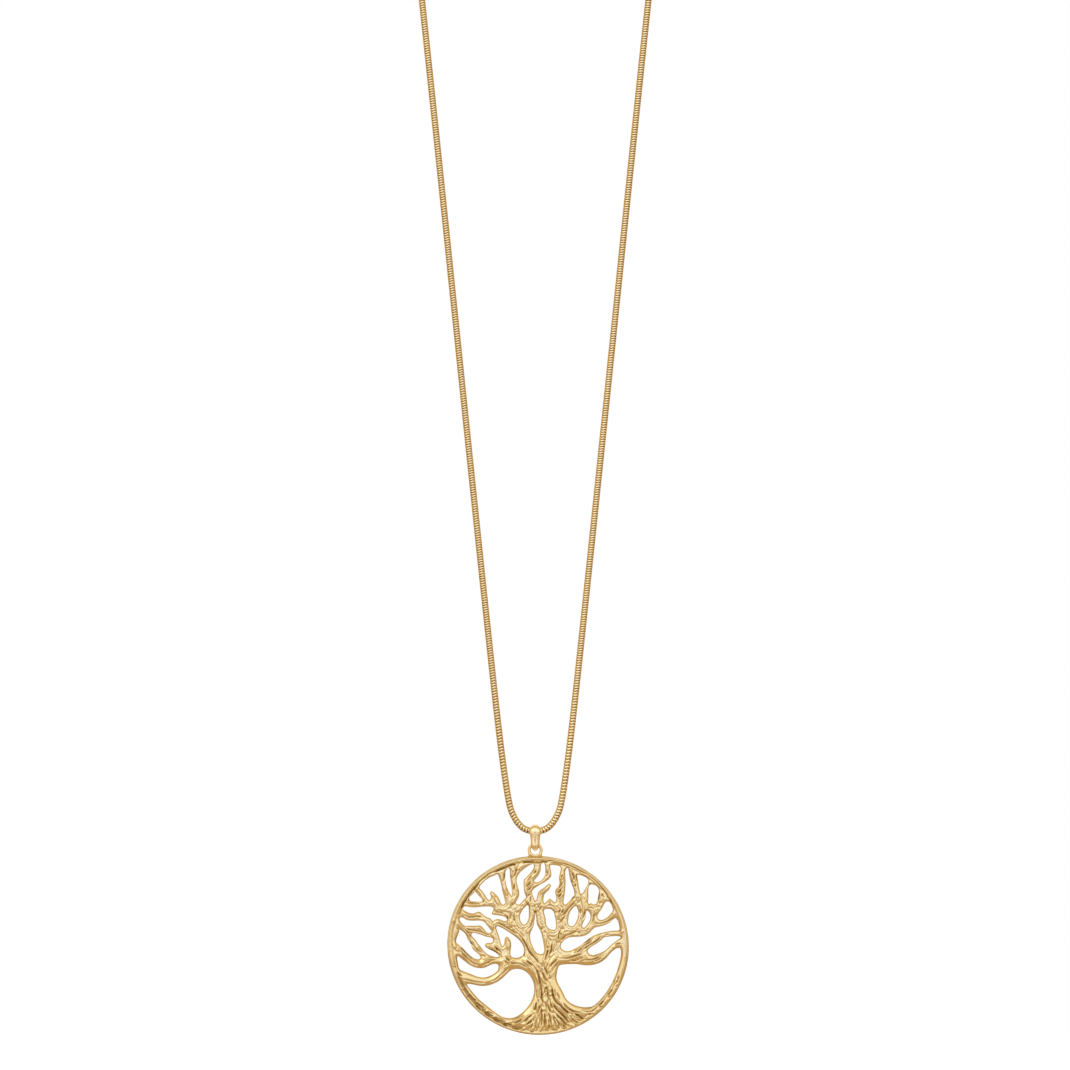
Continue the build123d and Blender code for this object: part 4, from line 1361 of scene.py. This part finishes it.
# the bail
def bail_path():
    """Points round the bail's hollow and the direction out from each: back, up, back out, up out."""
    turn_up = math.asin((bore_radius - seat_radius) / bail_drop)
    bends = []
    for centre, radius, start, end, steps in (
        (0.0, bore_radius, -turn_up, math.pi + turn_up, bail_bend_steps[0]),
        (-bail_drop, seat_radius, math.pi + turn_up, 2 * math.pi - turn_up, bail_bend_steps[1]),
    ):
        for turn in np.linspace(start, end, steps):
            out = (math.cos(turn), math.sin(turn))
            bends.append((radius * out[0], centre + radius * out[1], *out))
    bends = np.array(bends)
    path = []
    for here, after in zip(bends, np.roll(bends, -1, 0)):
        path.append(here)
        steps = int(math.hypot(*(after - here)[:2]) / bail_step)
        path += [here + (after - here) * i / steps for i in range(1, steps)]
    return np.array(path).T[:, :, None]


def make_bail(material):
    """The bail: a domed band looped round the chain and the medallion's ring."""
    back, up, back_out, up_out = bail_path()
    downs, widths, walls = np.array(BAIL_FORM).T
    turns = np.linspace(0.0, 2 * math.pi, bail_sides, endpoint=False)
    sine = np.sin(turns)
    rise = np.where(sine > 0, (sine + sine ** 2) * bail_crown, sine * bail_inner) + bail_seam
    out = rise * np.interp(-up, downs, walls)
    x = np.cos(turns) * np.interp(-up, downs, widths) / 2
    y = front_y + back + out * back_out
    z = low_z + up + out * up_out
    # painted shade: dark on the inner face round the hollow, lighter outside
    painted_shades = np.broadcast_to(np.where(rise < bail_inner_rise, bail_inner_shade, bail_shade), x.shape)
    vertices = np.stack([x, y, z], -1).reshape(-1, 3)
    return mesh_piece("bail_band", vertices, wrapped_faces(*x.shape).tolist(), material, painted_shades.ravel())


make_camera()
make_world()
make_floor()
for name, place, size, power, tint in SOFT_BOXES:
    area_light(name, place, size, power, tint)
bpy.context.scene.view_settings.view_transform = "Standard"

skin_group = cast_skin_group()
painted_shade_nodes = painted_shade_group()
# ridge colours are pale as painted highlight, groove colours dark as painted shade (brown on the cast and the
# bail's inner face, orange in the chain's necks and at its sides), each picked by the painted shade values
cast_gold = gold(
    "cast gold", ridge=(0.81, 0.73, 0.51), body=(0.80, 0.66, 0.375), groove=(0.345, 0.225, 0.088),
    shine=0.18, dullness=0.15, grain=2500.0, bump=0.000006, coat=0.1, rim_tint=(1.0, 1.0, 1.0),
)
chain_gold = gold(
    "chain gold", ridge=(0.90, 0.81, 0.58), body=(0.62, 0.44, 0.17), groove=(0.66, 0.43, 0.15),
    shine=0.20, dullness=0.25, grain=3000.0, bump=0.000005, coat=0.0, rim_tint=(0.62, 0.38, 0.12),
)
smooth_gold = gold(
    "smooth gold", ridge=(0.94, 0.84, 0.62), body=(0.90, 0.78, 0.54), groove=(0.40, 0.25, 0.10),
    shine=0.10, dullness=0.12, grain=3000.0, bump=0.000002, coat=0.1, rim_tint=(0.9, 0.75, 0.5),
)

medallion = make_medallion(cast_gold)
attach(medallion, "pendant")
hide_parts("medallion")

for piece in make_chain(chain_gold):
    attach(piece, "necklace")
    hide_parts("chain")

bail = make_bail(smooth_gold)
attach(bail, "bail")
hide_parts("bail")

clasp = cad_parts["clasp"]
clasp.data.materials.clear()
clasp.data.materials.append(smooth_gold)
